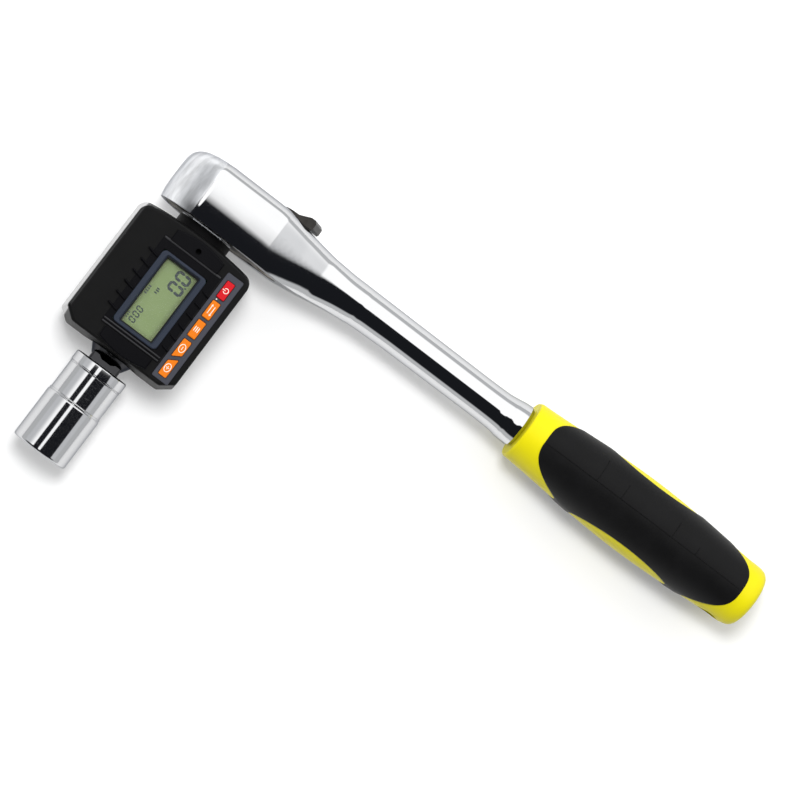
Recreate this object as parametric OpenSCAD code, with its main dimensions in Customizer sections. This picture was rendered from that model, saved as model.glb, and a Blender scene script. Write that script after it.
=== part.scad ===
// Half-inch drive reversible ratchet with a digital torque adapter and a hex socket on it.
// Frame: the origin is the centre of the hex socket's mouth, on the drive axis.
// +X runs along the handle to the grip's end, -Y towards the fastener, +Z to the display side.

/* [Drive] */
// Width across the flats of the male drive squares
square_af = 12.6; // [12.5:0.05:12.65]
// Width across the flats of the female drive squares
square_hole_af = 13.0; // [12.95:0.05:13.1]
// Length of the male square that enters its mate
square_len = 15.5; // [14.5:0.5:16]

/* [Hex socket] */
// Width across the flats of the wrench opening
hex_af = 16; // [13:1:17]
// Overall length of the socket
socket_len = 38.5; // [36:0.5:42]
// Outside diameter at the mouth
socket_od = 22.6; // [22:0.2:24]
// Depth of the hexagon from the mouth
hex_depth = 13; // [11:1:14]

/* [Torque adapter] */
// Width of the casing at its parting line
case_w = 50.4; // [49:0.2:53]
// Length of the casing along the drive axis
case_len = 55; // [54:0.5:58]
// Height of the front shell above the drive axis
case_front = 19.6; // [19.2:0.1:20.5]
// Depth of the rear shell below the drive axis
case_back = 20.05; // [19.8:0.05:21]
// Wall of the casing
case_wall = 2; // [1.6:0.1:2.2]
// Travel of each key
key_travel = 0.5; // [0.3:0.1:0.6]

/* [Ratchet head] */
// Thickness of the head along the drive axis
head_t = 24; // [23:0.5:26]
// Radius of the head's round end
head_r = 21.7; // [21:0.1:23]
// Half width of the head where its flat sides begin
head_half_w = 20.05; // [19.5:0.05:20.5]
// Number of teeth on the drive gear
gear_teeth = 36; // [36]
// Tip radius of the drive gear
gear_r = 13.2; // [13:0.1:13.4]
// Depth of a tooth
tooth_depth = 1.1; // [0.9:0.1:1.2]
// Swing of the pawl to each side of its middle
pawl_swing = 7.2; // [7:0.1:7.6]
// Swing of the reverse lever to each side of its middle
lever_swing = 24; // [18:1:26]

/* [Handle] */
// Radius of the round shank
shank_r = 7.75; // [7.2:0.05:8.2]
// Distance from the drive axis to the grip's front end
grip_x0 = 137.6; // [134:0.2:142]
// Length of the grip
grip_len = 107.8; // [104:0.2:112]
// Half width by which the grip's section is stretched sideways
grip_flat = 2; // [1:0.5:3]
// Radius of the hanging hole
hang_r = 4.3; // [3.5:0.1:5]

/* [Hidden] */
$fn = 64;

chrome = "silver";
steel = "lightslategray";
black = [0.13, 0.13, 0.14];
yellow = [0.93, 0.87, 0.14];
slate = [0.25, 0.27, 0.36];
orange = [0.95, 0.55, 0.1];

// Stations along the drive axis, measured from the socket's mouth
neck_gap = 5;
case_gap = 3;
rim_y = socket_len;
case_y0 = rim_y + neck_gap;
case_y1 = case_y0 + case_len;
plate_y = case_y1 + case_gap;
handle_y = plate_y + 12.2;
shaft_top_y = plate_y - 0.4;
shaft_tip_y = rim_y - square_len + 1;

// Ratchet mechanism
plate_t = 2;
plate_r = 18.2;
plate_tail_x = 26;
plate_tail_r = 5;
journal_r = 11;
top_journal_r = 9;
fit = 0.05;
pin_x = 17.4;
pin_r = 2;
spindle_x = 24.6;
spindle_r = 3;
lever_floor = 22.5;
pocket_y = 15;

// Ball detents: a ball stands slightly proud of one flat, in a blind pocket along X
ball_r = 2.3;
ball_proud = 0.15;
pocket_r = 2.4;
pocket_depth = 7;

// Adapter furniture, in casing coordinates: x across, y back from the ratchet end's plate
lcd_x = 1.6;
lcd_y = -31.5;
bezel_w = 19.2;
bezel_len = 31.6;
view_w = 13.5;
view_len = 28.2;
bridge_x0 = -8.2;
bridge_x1 = 12.4;
bridge_h = 1.2;
strip_x = 18.8;
strip_y = -31.6;
strip_w = 7;
strip_len = 46;
key_w = 3.6;
battery_x = 17.6;
battery_z = -9;
battery_r = 5.2;
battery_len = 44.5;
board_z = 11.7;
screw_x = 14.3;
screw_y = -6.9;

// ---- helpers ----

// Children's Z runs along +Y of the frame, starting at height y
module on_drive_axis(y = 0) translate([0, y, 0]) rotate([-90, 0, 0]) children();

// Children's Z runs along +X of the frame, on the handle's axis
module on_handle_axis(x = 0) translate([x, handle_y, 0]) rotate([0, 90, 0]) children();

// Casing coordinates: x and z as the frame's, y counted from the cover plate's face
module on_case() translate([0, plate_y, 0]) children();

function arc(r, a0, a1, n, cx = 0, cy = 0) =
    [for (i = [0:n]) [cx + r * cos(a0 + (a1 - a0) * i / n), cy + r * sin(a0 + (a1 - a0) * i / n)]];

// Outline of two circles on X joined by their tangents
function pear(r1, x2, r2) = let (a = acos((r1 - r2) / x2))
    concat(arc(r2, -a, a, 12, x2), arc(r1, a, 360 - a, 48));

function mirrored(pts) = concat(pts, [for (i = [len(pts) - 1:-1:0]) [pts[i][0], -pts[i][1]]]);

// Ratchet wheel outline: flat-topped vee teeth, symmetric about X
function gear_outline(tip_r, root_r) = let (pitch = 360 / gear_teeth) [
    for (i = [0:gear_teeth - 1], p = [[root_r, -0.36], [tip_r, -0.12], [tip_r, 0.12], [root_r, 0.36]])
        [p[0] * cos(pitch * (i + p[1])), p[0] * sin(pitch * (i + p[1]))]];

// A square bar along the children's Z with bevelled tip
module square_bar(af, len, bevel) {
    intersection() {
        translate([-af / 2, -af / 2, 0]) cube([af, af, len]);
        cylinder(h = len - bevel, r1 = af * 0.66, r2 = af * 0.66);
    }
    intersection() {
        translate([-af / 2, -af / 2, len - bevel - 0.01]) cube([af, af, bevel + 0.01]);
        translate([0, 0, len - bevel - 0.01])
            cylinder(h = bevel + 0.01, r1 = af * 0.66, r2 = af * 0.66 - bevel * 1.6);
    }
}

// A coil spring as a stack of true rings along the children's Z
module ring_spring(r, wire, len, turns) {
    for (i = [0:turns - 1]) translate([0, 0, wire / 2 + (len - wire) * i / (turns - 1)])
        rotate_extrude($fn = 24) translate([r, 0]) circle(d = wire, $fn = 16);
    translate([r - wire / 2, -wire / 2, 0]) cube([wire, wire, len]);
}

module ball_pocket(y) translate([square_af / 2 - pocket_depth, y, 0]) rotate([0, 90, 0])
    cylinder(h = pocket_depth + 2, r = pocket_r);

module ball(y) translate([square_af / 2 + ball_proud - ball_r, y, 0]) sphere(r = ball_r, $fn = 48);

module ball_spring(y) translate([square_af / 2 - pocket_depth + 0.1, y, 0]) rotate([0, 90, 0])
    ring_spring(1.3, 0.5, pocket_depth + ball_proud - 2 * ball_r + 0.15, 4);

// ---- ratchet handle ----

// Plan of the head and neck, in X and Z
function head_plan() = let (a = asin(head_half_w / head_r)) mirrored(concat(
    [[76, shank_r]], [[45, 8.1], [33, 13], [20.5, 18]], arc(head_r, 180 - a, 180, 20)));

// Side outline of the head and neck, in X and Y from the plate's face
head_side = [
    [-30, 0], [31, 0], [40, 0.9], [52, 2.9], [64, 4.1], [78, 12.2 - shank_r],
    [78, 12.2 + shank_r], [52, 20], [44, 20.5], [32.5, 22], [18, head_t - 0.1], [-30, head_t]];

module neck_envelope() on_handle_axis(-30) rotate_extrude()
    polygon([[0, 0], [26.5, 0], [26.5, 55], [20, 65], [12.5, 76], [9.2, 88], [shank_r, 107], [0, 107]]);

module shank() on_handle_axis(44) rotate_extrude()
    polygon([[0, 0], [shank_r, 0], [shank_r - 0.25, 74], [shank_r - 0.1, 82], [shank_r + 1.1, 91.5],
             [shank_r + 1.1, 93], [5.2, 93], [5.2, 140], [4.2, 142], [0, 142]]);

module head_forging() intersection() {
    on_drive_axis(plate_y) linear_extrude(head_t) polygon(head_plan());
    translate([0, plate_y, -30]) linear_extrude(60) polygon(head_side);
    neck_envelope();
    // rounded rims of the head
    on_drive_axis(plate_y) rotate_extrude($fn = 96)
        polygon([[0, 0], [20.6, 0], [21.7, 2.5], [60, 2.5], [60, 21.5], [23.8, 22], [20.6, head_t], [0, head_t]]);
}

module ratchet_body() color(chrome) difference() {
    union() {
        head_forging();
        intersection() {
            translate([18, plate_y, -30]) linear_extrude(60) polygon([for (p = head_side) [p[0] - 18, p[1]]]);
            on_drive_axis(plate_y) linear_extrude(head_t) polygon(head_plan());
            neck_envelope();
            translate([18, plate_y, -30]) cube([60, head_t, 60]);
        }
        shank();
    }
    // seat of the cover plate
    on_drive_axis(plate_y - 0.1) linear_extrude(plate_t + 0.1)
        polygon(pear(plate_r + 0.35, plate_tail_x, plate_tail_r + 0.35));
    // gear bore and its blind top bearing
    on_drive_axis(plate_y) cylinder(h = 19.2, r = gear_r + 0.5);
    on_drive_axis(plate_y) cylinder(h = 22, r = top_journal_r + fit);
    pawl_pocket();
    on_drive_axis(plate_y) translate([pin_x, 0, 0]) cylinder(h = 18, r = pin_r + 0.01, $fn = 32);
    on_drive_axis(plate_y) translate([spindle_x, 0, 0]) cylinder(h = head_t + 2, r = spindle_r + fit);
    on_drive_axis(plate_y + lever_floor) translate([spindle_x, 0, 0]) cylinder(h = 5, r = 6.9);
    plate_screw_places() translate([0, 0, 1]) cylinder(h = 7, r = 1.15, $fn = 24);
}

// Space in which the pawl swings
module pawl_pocket() on_drive_axis(plate_y) linear_extrude(pocket_y) polygon(concat(
    arc(18, -62, -22, 8), arc(5.6, -75, 75, 16, pin_x), arc(18, 22, 62, 8)));

module plate_screw_places() for (p = [[-12.4, -9.05], [-12.4, 9.05], [19.8, -7.2], [19.8, 7.2]])
    on_drive_axis(plate_y) translate([p[0], p[1], 0]) children();

module cover_plate() color("rosybrown") difference() {
    on_drive_axis(plate_y + 0.2) linear_extrude(plate_t - 0.25)
        polygon(pear(plate_r, plate_tail_x, plate_tail_r));
    on_drive_axis(plate_y - 1) cylinder(h = 4, r = journal_r + fit);
    on_drive_axis(plate_y - 1) translate([spindle_x, 0, 0]) cylinder(h = 4, r = 2.2 + fit, $fn = 32);
    plate_screw_places() {
        translate([0, 0, -1]) cylinder(h = 4, r = 1.4, $fn = 24);
        translate([0, 0, -0.01]) cylinder(h = 1.25, r = 2.3, $fn = 32);
    }
}

module plate_screws() color(steel) plate_screw_places() difference() {
    union() {
        translate([0, 0, 0.3]) cylinder(h = 0.9, r = 2.1, $fn = 32);
        translate([0, 0, 1.1]) cylinder(h = 5.6, r = 1.1, $fn = 24);
    }
    for (a = [0, 90]) rotate(a) translate([-1.3, -0.3, 0.2]) cube([2.6, 0.6, 0.6]);
}

// Half width of the grip in Y along its length, as [distance from the front end, radius]
grip_line = [[0, 0], [0, 11.3], [0.6, 11.9], [10, 12.4], [20, 13.1], [32, 14.1], [44, 14.7], [54, 14.9],
             [64, 14.75], [76, 14.2], [88, 13.3], [97, 12.75], [105, 12.65], [107, 11.7], [grip_len, 9.6], [grip_len, 0]];

// Solid whose section is a circle stretched sideways by two half widths
module grip_solid(line, grow) {
    pts = [for (p = line) [p[1] == 0 ? 0 : p[1] + grow, p[0]]];
    for (s = [-1, 1]) translate([0, 0, s * grip_flat]) on_handle_axis(grip_x0) rotate_extrude($fn = 72) polygon(pts);
    translate([grip_x0, handle_y, -grip_flat]) linear_extrude(2 * grip_flat)
        polygon(concat([for (p = pts) [p[1], p[0]]], [for (i = [len(pts) - 1:-1:0]) [pts[i][1], -pts[i][0]]]));
}

module hang_hole(r) on_drive_axis(handle_y - 20) translate([grip_x0 + grip_len - 9.6, 0, 0]) cylinder(h = 40, r = r);

module grip_core() color(yellow) difference() {
    grip_solid(grip_line, 0);
    on_handle_axis(grip_x0 - 1) cylinder(h = 49.45, r = 5.25);
    hang_hole(hang_r);
    pad_volume();
}

// Outer skin band of the grip from which the pad is cut: everything outside the inner line
pad_in = [[5, 0], [5, 9.4], [12, 10.6], [22, 11.6], [34, 12.6], [54, 13.3], [74, 12.7], [86, 11.7],
          [95, 10.8], [102, 10], [102, 0]];

module pad_volume() difference() {
    intersection() {
        grip_solid([[6, 0], [6, 14], [9, 15.5], [54, 18], [90, 16], [99.6, 14], [99.6, 0]], 0);
        pad_plan();
    }
    grip_solid(pad_in, 0);
}

// Plan of the pad in X and Y: an oval whose sides dip to leave a yellow window on each side
module pad_plan() translate([grip_x0 + 54.1, handle_y, -30]) linear_extrude(60) difference() {
    polygon(mirrored([for (a = [0:6:180]) [-46.2 * cos(a), 16 * pow(sin(a), 0.55)]]));
    for (s = [-1, 1]) translate([1, s * 160.6]) circle(r = 147.8, $fn = 360);
}

module grip_pad() color(black) difference() {
    intersection() {
        grip_solid(grip_line, 0.35);
        pad_volume();
    }
    hang_hole(hang_r);
}

// ---- reversing mechanism ----

module pawl() color(steel) on_drive_axis(plate_y + 3.4) translate([pin_x, 0, 0]) rotate(pawl_swing)
    translate([-pin_x, 0, 0]) difference() {
        linear_extrude(10.8) difference() {
            union() {
                polygon(concat(arc(15.9, -44, 44, 24), arc(gear_r + 0.25, 46, -46, 24)));
                translate([pin_x, 0]) circle(r = 3.5, $fn = 48);
            }
            for (s = [-1, -0.7, -0.4, -0.1, 0.1, 0.4, 0.7, 1])
                translate([pin_x, 0]) rotate(s * pawl_swing) translate([-pin_x, 0])
                    polygon(gear_outline(gear_r + 0.15, gear_r - tooth_depth + 0.15));
            circle(r = gear_r + 0.24, $fn = 96);
        }
        translate([pin_x, 0, -1]) cylinder(h = 14, r = pin_r + fit, $fn = 32);
    }

module pawl_pin() color(steel) on_drive_axis(plate_y + plate_t) translate([pin_x, 0, 0])
    cylinder(h = 15.6, r = pin_r, $fn = 32);

// Children stand on the lever's axis, turned with the lever at rest
module on_lever(y) on_drive_axis(plate_y + y) translate([spindle_x, 0, 0]) rotate(-lever_swing) children();

module reverse_lever() color([0.2, 0.2, 0.21]) on_lever(lever_floor + 0.15) difference() {
    union() {
        cylinder(h = 2, r = 6.5);
        // thumb tab: a wedge that rises to its tip
        translate([0, 4.2, 0]) rotate([90, 0, 0]) linear_extrude(8.4)
            polygon([[0, 0], [8.1, 0], [8.5, 0.8], [8.4, 3.0], [7.4, 3.95], [5.6, 3.95], [0, 1.9]]);
    }
    translate([0, 0, -1]) cylinder(h = 2.2, r = spindle_r + 0.01);
}

module lever_spindle() color(steel) on_lever(0.5) difference() {
    union() {
        cylinder(h = 2, r = 2.2, $fn = 32);
        translate([0, 0, 1.6]) cylinder(h = lever_floor - 0.8, r = spindle_r);
    }
    // groove for the sealing ring and cross bore for the plunger
    translate([0, 0, 16.5]) rotate_extrude() translate([spindle_r - 0.6, 0]) square([2, 1.2]);
    translate([-5, 0, 8.3]) rotate([0, 90, 0]) cylinder(h = 6.8, r = 1.35, $fn = 32);
}

module spindle_ring() color(black) on_lever(17.05) rotate_extrude()
    translate([spindle_r - 0.58, 0]) square([0.56, 1.1]);

module pawl_plunger() color(chrome) on_lever(8.8) translate([-3.45, 0, 0]) rotate([0, 90, 0])
    cylinder(h = 2.2, r = 1.3, $fn = 32);

module plunger_spring() color(steel) on_lever(8.8) translate([-1.2, 0, 0]) rotate([0, 90, 0])
    ring_spring(0.85, 0.35, 2.9, 4);

module drive_gear() color(chrome) difference() {
    union() {
        on_drive_axis(plate_y + 3) linear_extrude(12) polygon(gear_outline(gear_r, gear_r - tooth_depth));
        on_drive_axis(plate_y + 14.9) cylinder(h = 3.3, r = 11.6);
        on_drive_axis(plate_y + 18) cylinder(h = 3.8, r = top_journal_r);
        on_drive_axis(plate_y) cylinder(h = 3.1, r = journal_r);
        translate([0, plate_y + 0.1, 0]) rotate([90, 0, 0]) square_bar(square_af, square_len + 0.1, 1.2);
    }
    ball_pocket(plate_y - 9);
}

module thrust_washer() color("peru") on_drive_axis(plate_y + 18.3) difference() {
    cylinder(h = 0.8, r = 12.6);
    translate([0, 0, -1]) cylinder(h = 3, r = top_journal_r + 0.2);
}

module drive_ball() color(steel) ball(plate_y - 9);
module drive_ball_spring() color(steel) ball_spring(plate_y - 9);

// ---- torque adapter ----

// Plan of the casing: rounded towards the ratchet, chamfered towards the socket
function case_plan(inset) = let (w = case_w / 2 - inset, top = -case_gap - inset, end = -case_gap - case_len + inset)
    concat([[w, end + 3.6], [w, top - 8]], arc(8.5, 10, 80, 6, w - 8.6, top - 9.1), [[8, top], [-8, top]],
           arc(8.5, 100, 170, 6, 8.6 - w, top - 9.1), [[-w, top - 8], [-w, end + 3.6], [-w + 4.8, end], [w - 4.8, end]]);

// Half of the casing as one convex block, with draft and a bevelled edge
module case_block(height, inset) hull() {
    linear_extrude(0.1) polygon(case_plan(inset));
    linear_extrude(height - 2.4) polygon(case_plan(inset + 0.5));
    linear_extrude(height) polygon(case_plan(inset + 2.2));
}

module shaft_holes() {
    on_drive_axis(plate_y - 6) cylinder(h = 6, r = 11.4);
    on_drive_axis(case_y0 - 1) cylinder(h = 8.6, r = 11.6);
}

module case_screw_places() for (s = [-1, 1]) on_case() translate([s * screw_x, screw_y, 0]) children();

module front_shell() color(black) difference() {
    union() {
        difference() {
            on_case() case_block(case_front, 0);
            on_case() translate([0, 0, -0.01]) case_block(case_front - case_wall, case_wall);
        }
        // raised bridge that carries the display from end to end
        on_case() translate([bridge_x0, -case_gap - case_len + 2.6, case_front - case_wall])
            cube([bridge_x1 - bridge_x0, case_len - 5.2, case_wall + bridge_h]);
        case_screw_places() cylinder(h = case_front - 1, r = 2.2, $fn = 32);
        for (p = [[-19, -12], [-19, -50], [10, -52.6]]) on_case() translate([p[0], p[1], board_z + 1.25])
            cylinder(h = case_front - board_z - 2, r = 1.8, $fn = 32);
    }
    shaft_holes();
    case_screw_places() translate([0, 0, -1]) cylinder(h = 9, r = 1.3, $fn = 24);
    on_case() {
        for (p = [[-19, -12], [-19, -50], [10, -52.6]]) translate([p[0], p[1], 10]) cylinder(h = 6, r = 0.8, $fn = 24);
        // display opening with a seat for the bezel
        translate([lcd_x - view_w / 2 - 1, lcd_y - view_len / 2 - 1, 15]) cube([view_w + 2, view_len + 2, 10]);
        translate([lcd_x - bezel_w / 2 - 0.1, lcd_y - bezel_len / 2 - 0.1, 18.4])
            cube([bezel_w + 0.2, bezel_len + 0.2, 5]);
        // keypad slot with a seat for its bezel
        translate([strip_x - 2.8, strip_y - 22.2, 15]) cube([5.6, 44.4, 10]);
        translate([strip_x - strip_w / 2 - 0.05, strip_y - strip_len / 2 - 0.05, case_front - 1.1])
            cube([strip_w + 0.1, strip_len + 0.1, 5]);
        // sound hole
        translate([2.3, -9.4, 15]) cylinder(h = 10, r = 1.1, $fn = 24);
    }
}

module battery_bays() for (s = [-1, 1]) on_case()
    translate([s * battery_x - 5.7, -55.4, -case_back - 1]) cube([11.4, 46.4, 18]);

module rear_shell() color(black) difference() {
    union() {
        difference() {
            on_case() mirror([0, 0, 1]) case_block(case_back, 0);
            on_case() translate([0, 0, 0.01]) mirror([0, 0, 1]) case_block(case_back - case_wall, case_wall);
        }
        // seat of the battery door
        on_case() translate([-23.4, -56.4, -case_back + 1.2]) cube([46.8, 48.4, 2.4]);
        case_screw_places() translate([0, 0, -case_back + 0.5]) cylinder(h = case_back - 0.6, r = 2.6, $fn = 32);
    }
    shaft_holes();
    case_screw_places() {
        translate([0, 0, -case_back - 1]) cylinder(h = case_back + 2, r = 1.5, $fn = 24);
        translate([0, 0, -case_back - 1]) cylinder(h = 4, r = 2.3, $fn = 32);
    }
    battery_bays();
    on_case() {
        translate([-22.3, -54.6, -case_back - 1]) cube([44.6, 44.2, 3]);
        translate([0, -32, -case_back - 1]) cylinder(h = 8, r = 1.0, $fn = 24);
    }
}

module torsion_shaft() color(chrome) difference() {
    union() {
        on_drive_axis(shaft_top_y - 18) cylinder(h = 18, r = 10.2);
        on_drive_axis(plate_y - 46) cylinder(h = 28, r = 6.5);
        on_drive_axis(case_y0 + 0.4) cylinder(h = 13.6, r = 9.5);
        on_drive_axis(rim_y + 2) cylinder(h = neck_gap - 1.5, r1 = 6.6, r2 = 8.8);
        translate([0, rim_y + 3, 0]) rotate([90, 0, 0]) square_bar(square_af, square_len + 2, 1.2);
    }
    on_drive_axis(shaft_top_y - 16.6) translate([-square_hole_af / 2, -square_hole_af / 2, 0])
        cube([square_hole_af, square_hole_af, 20]);
    ball_pocket(rim_y - 7);
}

module input_collar() color(black) difference() {
    on_drive_axis(plate_y - 6.6) cylinder(h = 6, r = 11.3);
    on_drive_axis(plate_y - 8) cylinder(h = 9, r = 10.25);
}

module output_bush() color("peru") difference() {
    on_drive_axis(case_y0 + 3.2) cylinder(h = 4.4, r = 11.55);
    on_drive_axis(case_y0) cylinder(h = 12, r = 9.55);
}

module output_seal() color(black) difference() {
    on_drive_axis(case_y0 + 0.5) cylinder(h = 2.5, r = 11.55);
    on_drive_axis(case_y0 - 1) cylinder(h = 6, r = 9.52);
}

// Foil gauges on four flats around the thin section
module strain_gauges() color("goldenrod") on_drive_axis(plate_y - 34) for (a = [0:90:270]) rotate(a)
    translate([6.52, -2.2, 0]) cube([0.25, 4.4, 8]);

module gauge_leads() color("firebrick") for (i = [0:3]) on_case() translate([-3 + 2 * i, -24.5, 6.9])
    cylinder(h = board_z - 6.95, r = 0.4, $fn = 16);

module circuit_board() color("seagreen") difference() {
    on_case() translate([0, 0, board_z]) linear_extrude(1.2)
        polygon([[-21.2, -10.4], [21.2, -10.4], [21.2, -50.8], [16.8, -54.6], [-16.8, -54.6], [-21.2, -50.8]]);
    for (p = [[-19, -12], [-19, -50], [10, -52.6]]) on_case() translate([p[0], p[1], 10]) cylinder(h = 4, r = 0.9, $fn = 24);
}

module board_screws() color(steel) for (p = [[-19, -12], [-19, -50], [10, -52.6]]) on_case() {
    translate([p[0], p[1], board_z - 1]) cylinder(h = 0.98, r = 1.6, $fn = 32);
    translate([p[0], p[1], board_z - 0.1]) cylinder(h = 4, r = 0.75, $fn = 24);
}

module board_chips() color([0.15, 0.15, 0.16]) on_case() {
    translate([-17, -36, board_z + 1.2]) cube([7, 7, 1.2]);
    translate([-17, -24, board_z + 1.2]) cube([4, 5, 1]);
    translate([-12, -20, board_z + 1.2]) cube([2, 4, 0.8]);
}

module lcd_cell() color("darkseagreen") on_case() translate([lcd_x - 8.2, lcd_y - 15.4, 15.2]) cube([16.4, 30.8, 1.8]);

module contact_strips() color("gray") for (s = [-1, 1]) on_case()
    translate([lcd_x + s * 6.6 - 0.9, lcd_y - 13, board_z + 1.2]) cube([1.8, 26, 2.3]);

module lcd_window() color("palegreen", 0.4) on_case()
    translate([lcd_x - 7.6, lcd_y - 15, 17.1]) cube([15.2, 30, 1.2]);

module lcd_bezel() color(slate) difference() {
    on_case() translate([lcd_x - bezel_w / 2, lcd_y - bezel_len / 2, 18.4]) cube([bezel_w, bezel_len, 2.2]);
    on_case() translate([lcd_x - view_w / 2, lcd_y - view_len / 2, 18]) cube([view_w, view_len, 4]);
}

// Key caps: each entry is the outline around the key's own centre
key_rect = [[-1.8, -3.6], [1.8, -3.6], [1.8, 3.6], [-1.8, 3.6]];
key_slant = [[-1.8, -4.4], [1.8, -2.4], [1.8, 3.5], [-1.8, 3.5]];
key_ys = [-14.7, -23.4, -32, -40.6, -49.3];

module key_hole(i) translate([strip_x - 0.25, key_ys[i], 16]) linear_extrude(6) scale(1.06)
    polygon(i < 3 ? key_rect : i == 3 ? key_slant : [for (p = key_slant) -p]);

module keypad_bezel() color([0.33, 0.34, 0.38]) difference() {
    on_case() translate([strip_x - strip_w / 2, strip_y - strip_len / 2, case_front - 1.1]) cube([strip_w, strip_len, 1.3]);
    on_case() for (i = [0:4]) key_hole(i);
}

module key(i, tint) color(tint) on_case() translate([strip_x - 0.25, key_ys[i], 0]) {
    translate([0, 0, 16.9]) linear_extrude(case_front + 0.7 - 16.9)
        polygon(i < 3 ? key_rect : i == 3 ? key_slant : [for (p = key_slant) -p]);
    translate([-2.2, -4, 16.9]) cube([4.4, i < 3 ? 8 : 7.6, 1.0]);
    translate([0, 0, 15.7]) cylinder(h = 1.3, r = 1.2, $fn = 24);
}

module power_key() key(0, "crimson");
module unit_key() key(1, orange);
module mode_key() key(2, orange);
module minus_key() key(3, orange);
module plus_key() key(4, orange);

module key_switches() color("dimgray") for (y = key_ys) on_case() {
    translate([strip_x - 2.75, y - 2.5, board_z + 1.2]) cube([5, 5, 1.4]);
    translate([strip_x - 0.25, y, board_z + 2.5]) cylinder(h = 0.75, r = 1, $fn = 24);
}

module buzzer() color([0.1, 0.1, 0.1]) on_case() difference() {
    translate([2.3, -10.8, board_z + 1.2]) cylinder(h = 2.6, r = 3.6, $fn = 32);
    translate([2.3, -9.4, board_z + 3]) cylinder(h = 2, r = 0.6, $fn = 24);
}

module batteries() color("darkorange") for (s = [-1, 1]) translate([s * battery_x, plate_y - 10, battery_z])
    rotate([90, 0, 0]) {
        translate([0, 0, s > 0 ? 0.8 : 0]) cylinder(h = battery_len - 0.8, r = battery_r);
        translate([0, 0, s > 0 ? 0 : battery_len - 0.9]) cylinder(h = 0.9, r = 1.9, $fn = 32);
    }

module battery_contacts() color("gold") for (s = [-1, 1], y = [-9.9, -55.1]) on_case()
    translate([s * battery_x - 4, y, -13]) cube([8, 0.5, 8]);

module battery_door() color(black) difference() {
    union() {
        on_case() translate([-22.2, -54.5, -case_back]) cube([44.4, 44, 1.9]);
        for (x = [-14, 14]) on_case() translate([x - 1.5, -10.6, -case_back + 1]) cube([3, 0.9, 0.8]);
    }
    on_case() translate([0, -32, -case_back - 1]) cylinder(h = 4, r = 1.5, $fn = 24);
    on_case() translate([0, -32, -case_back - 1]) cylinder(h = 1.9, r = 2.6, $fn = 32);
}

module screw_from_back(head_r1, head_h, shank_r1, len) difference() {
    union() {
        cylinder(h = head_h, r = head_r1, $fn = 32);
        translate([0, 0, head_h - 0.1]) cylinder(h = len, r = shank_r1, $fn = 24);
    }
    for (a = [0, 90]) rotate(a) translate([-head_r1 * 0.6, -0.25, -0.1]) cube([head_r1 * 1.2, 0.5, 0.6]);
}

module door_screw() color(steel) on_case() translate([0, -32, -case_back + 0.1]) screw_from_back(2.4, 0.78, 0.95, 5);

module case_screws() color(steel) case_screw_places() translate([0, 0, -case_back + 1.6])
    screw_from_back(2.15, 1.35, 1.25, case_back + 3);

module adapter_ball() color(steel) ball(rim_y - 7);
module adapter_ball_spring() color(steel) ball_spring(rim_y - 7);

// ---- socket ----

// Outer profile as [radius, distance from the mouth]
socket_line = [
    [0, 0], [socket_od / 2 - 0.6, 0], [socket_od / 2, 0.7], [socket_od / 2 - 0.6, 20.6], [socket_od / 2 - 0.35, 21.2],
    [socket_od / 2 - 0.35, 22], [socket_od / 2 - 0.8, 22.5], [socket_od / 2 - 0.7, 33.2], [socket_od / 2 - 0.3, 33.6],
    [socket_od / 2 - 0.3, 34], [socket_od / 2 - 0.65, 34.3], [socket_od / 2 - 0.2, 34.7], [socket_od / 2 - 0.2, socket_len - 0.7],
    [socket_od / 2 - 0.9, socket_len], [0, socket_len]];

module hex_socket() color(chrome) difference() {
    on_drive_axis(0) rotate_extrude($fn = 96) polygon(socket_line);
    on_drive_axis(-1) rotate(30) cylinder(h = hex_depth + 1, r = hex_af / sqrt(3), $fn = 6);
    on_drive_axis(-0.01) cylinder(h = 1.2, r1 = hex_af / sqrt(3) + 0.3, r2 = hex_af / 2 - 0.1);
    on_drive_axis(hex_depth - 0.5) cylinder(h = socket_len - 17 - hex_depth + 0.5, r = 7.7);
    on_drive_axis(socket_len - 17) translate([-square_hole_af / 2, -square_hole_af / 2, 0])
        cube([square_hole_af, square_hole_af, 20]);
}

// ---- nodes ----

ratchet_body();
cover_plate();
plate_screws();
grip_core();
grip_pad();
pawl();
pawl_pin();
reverse_lever();
lever_spindle();
spindle_ring();
pawl_plunger();
plunger_spring();
drive_gear();
thrust_washer();
drive_ball();
drive_ball_spring();
front_shell();
rear_shell();
torsion_shaft();
input_collar();
output_bush();
output_seal();
strain_gauges();
gauge_leads();
circuit_board();
board_screws();
board_chips();
lcd_cell();
contact_strips();
lcd_window();
lcd_bezel();
keypad_bezel();
power_key();
unit_key();
mode_key();
minus_key();
plus_key();
key_switches();
buzzer();
batteries();
battery_contacts();
battery_door();
door_screw();
case_screws();
adapter_ball();
adapter_ball_spring();
hex_socket();
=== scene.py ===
"""Dresses a digital torque wrench: ratchet handle, torque adapter and hex socket.

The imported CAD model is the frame. Its nodes stay where they are and get finished
materials, and the forging, the grip, the adapter's casing, the display, the keys and
the socket are replaced by finer meshes that sit in the same space. Lengths are given in
millimetres and turned into metres where a mesh, a lamp or a material is made.
"""

from __future__ import annotations

import logging
import math
from dataclasses import dataclass, replace
from enum import Enum
from typing import Iterable, Optional, Sequence, Union

import bmesh
import bpy
import numpy as np
from mathutils import Matrix, Vector


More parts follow.
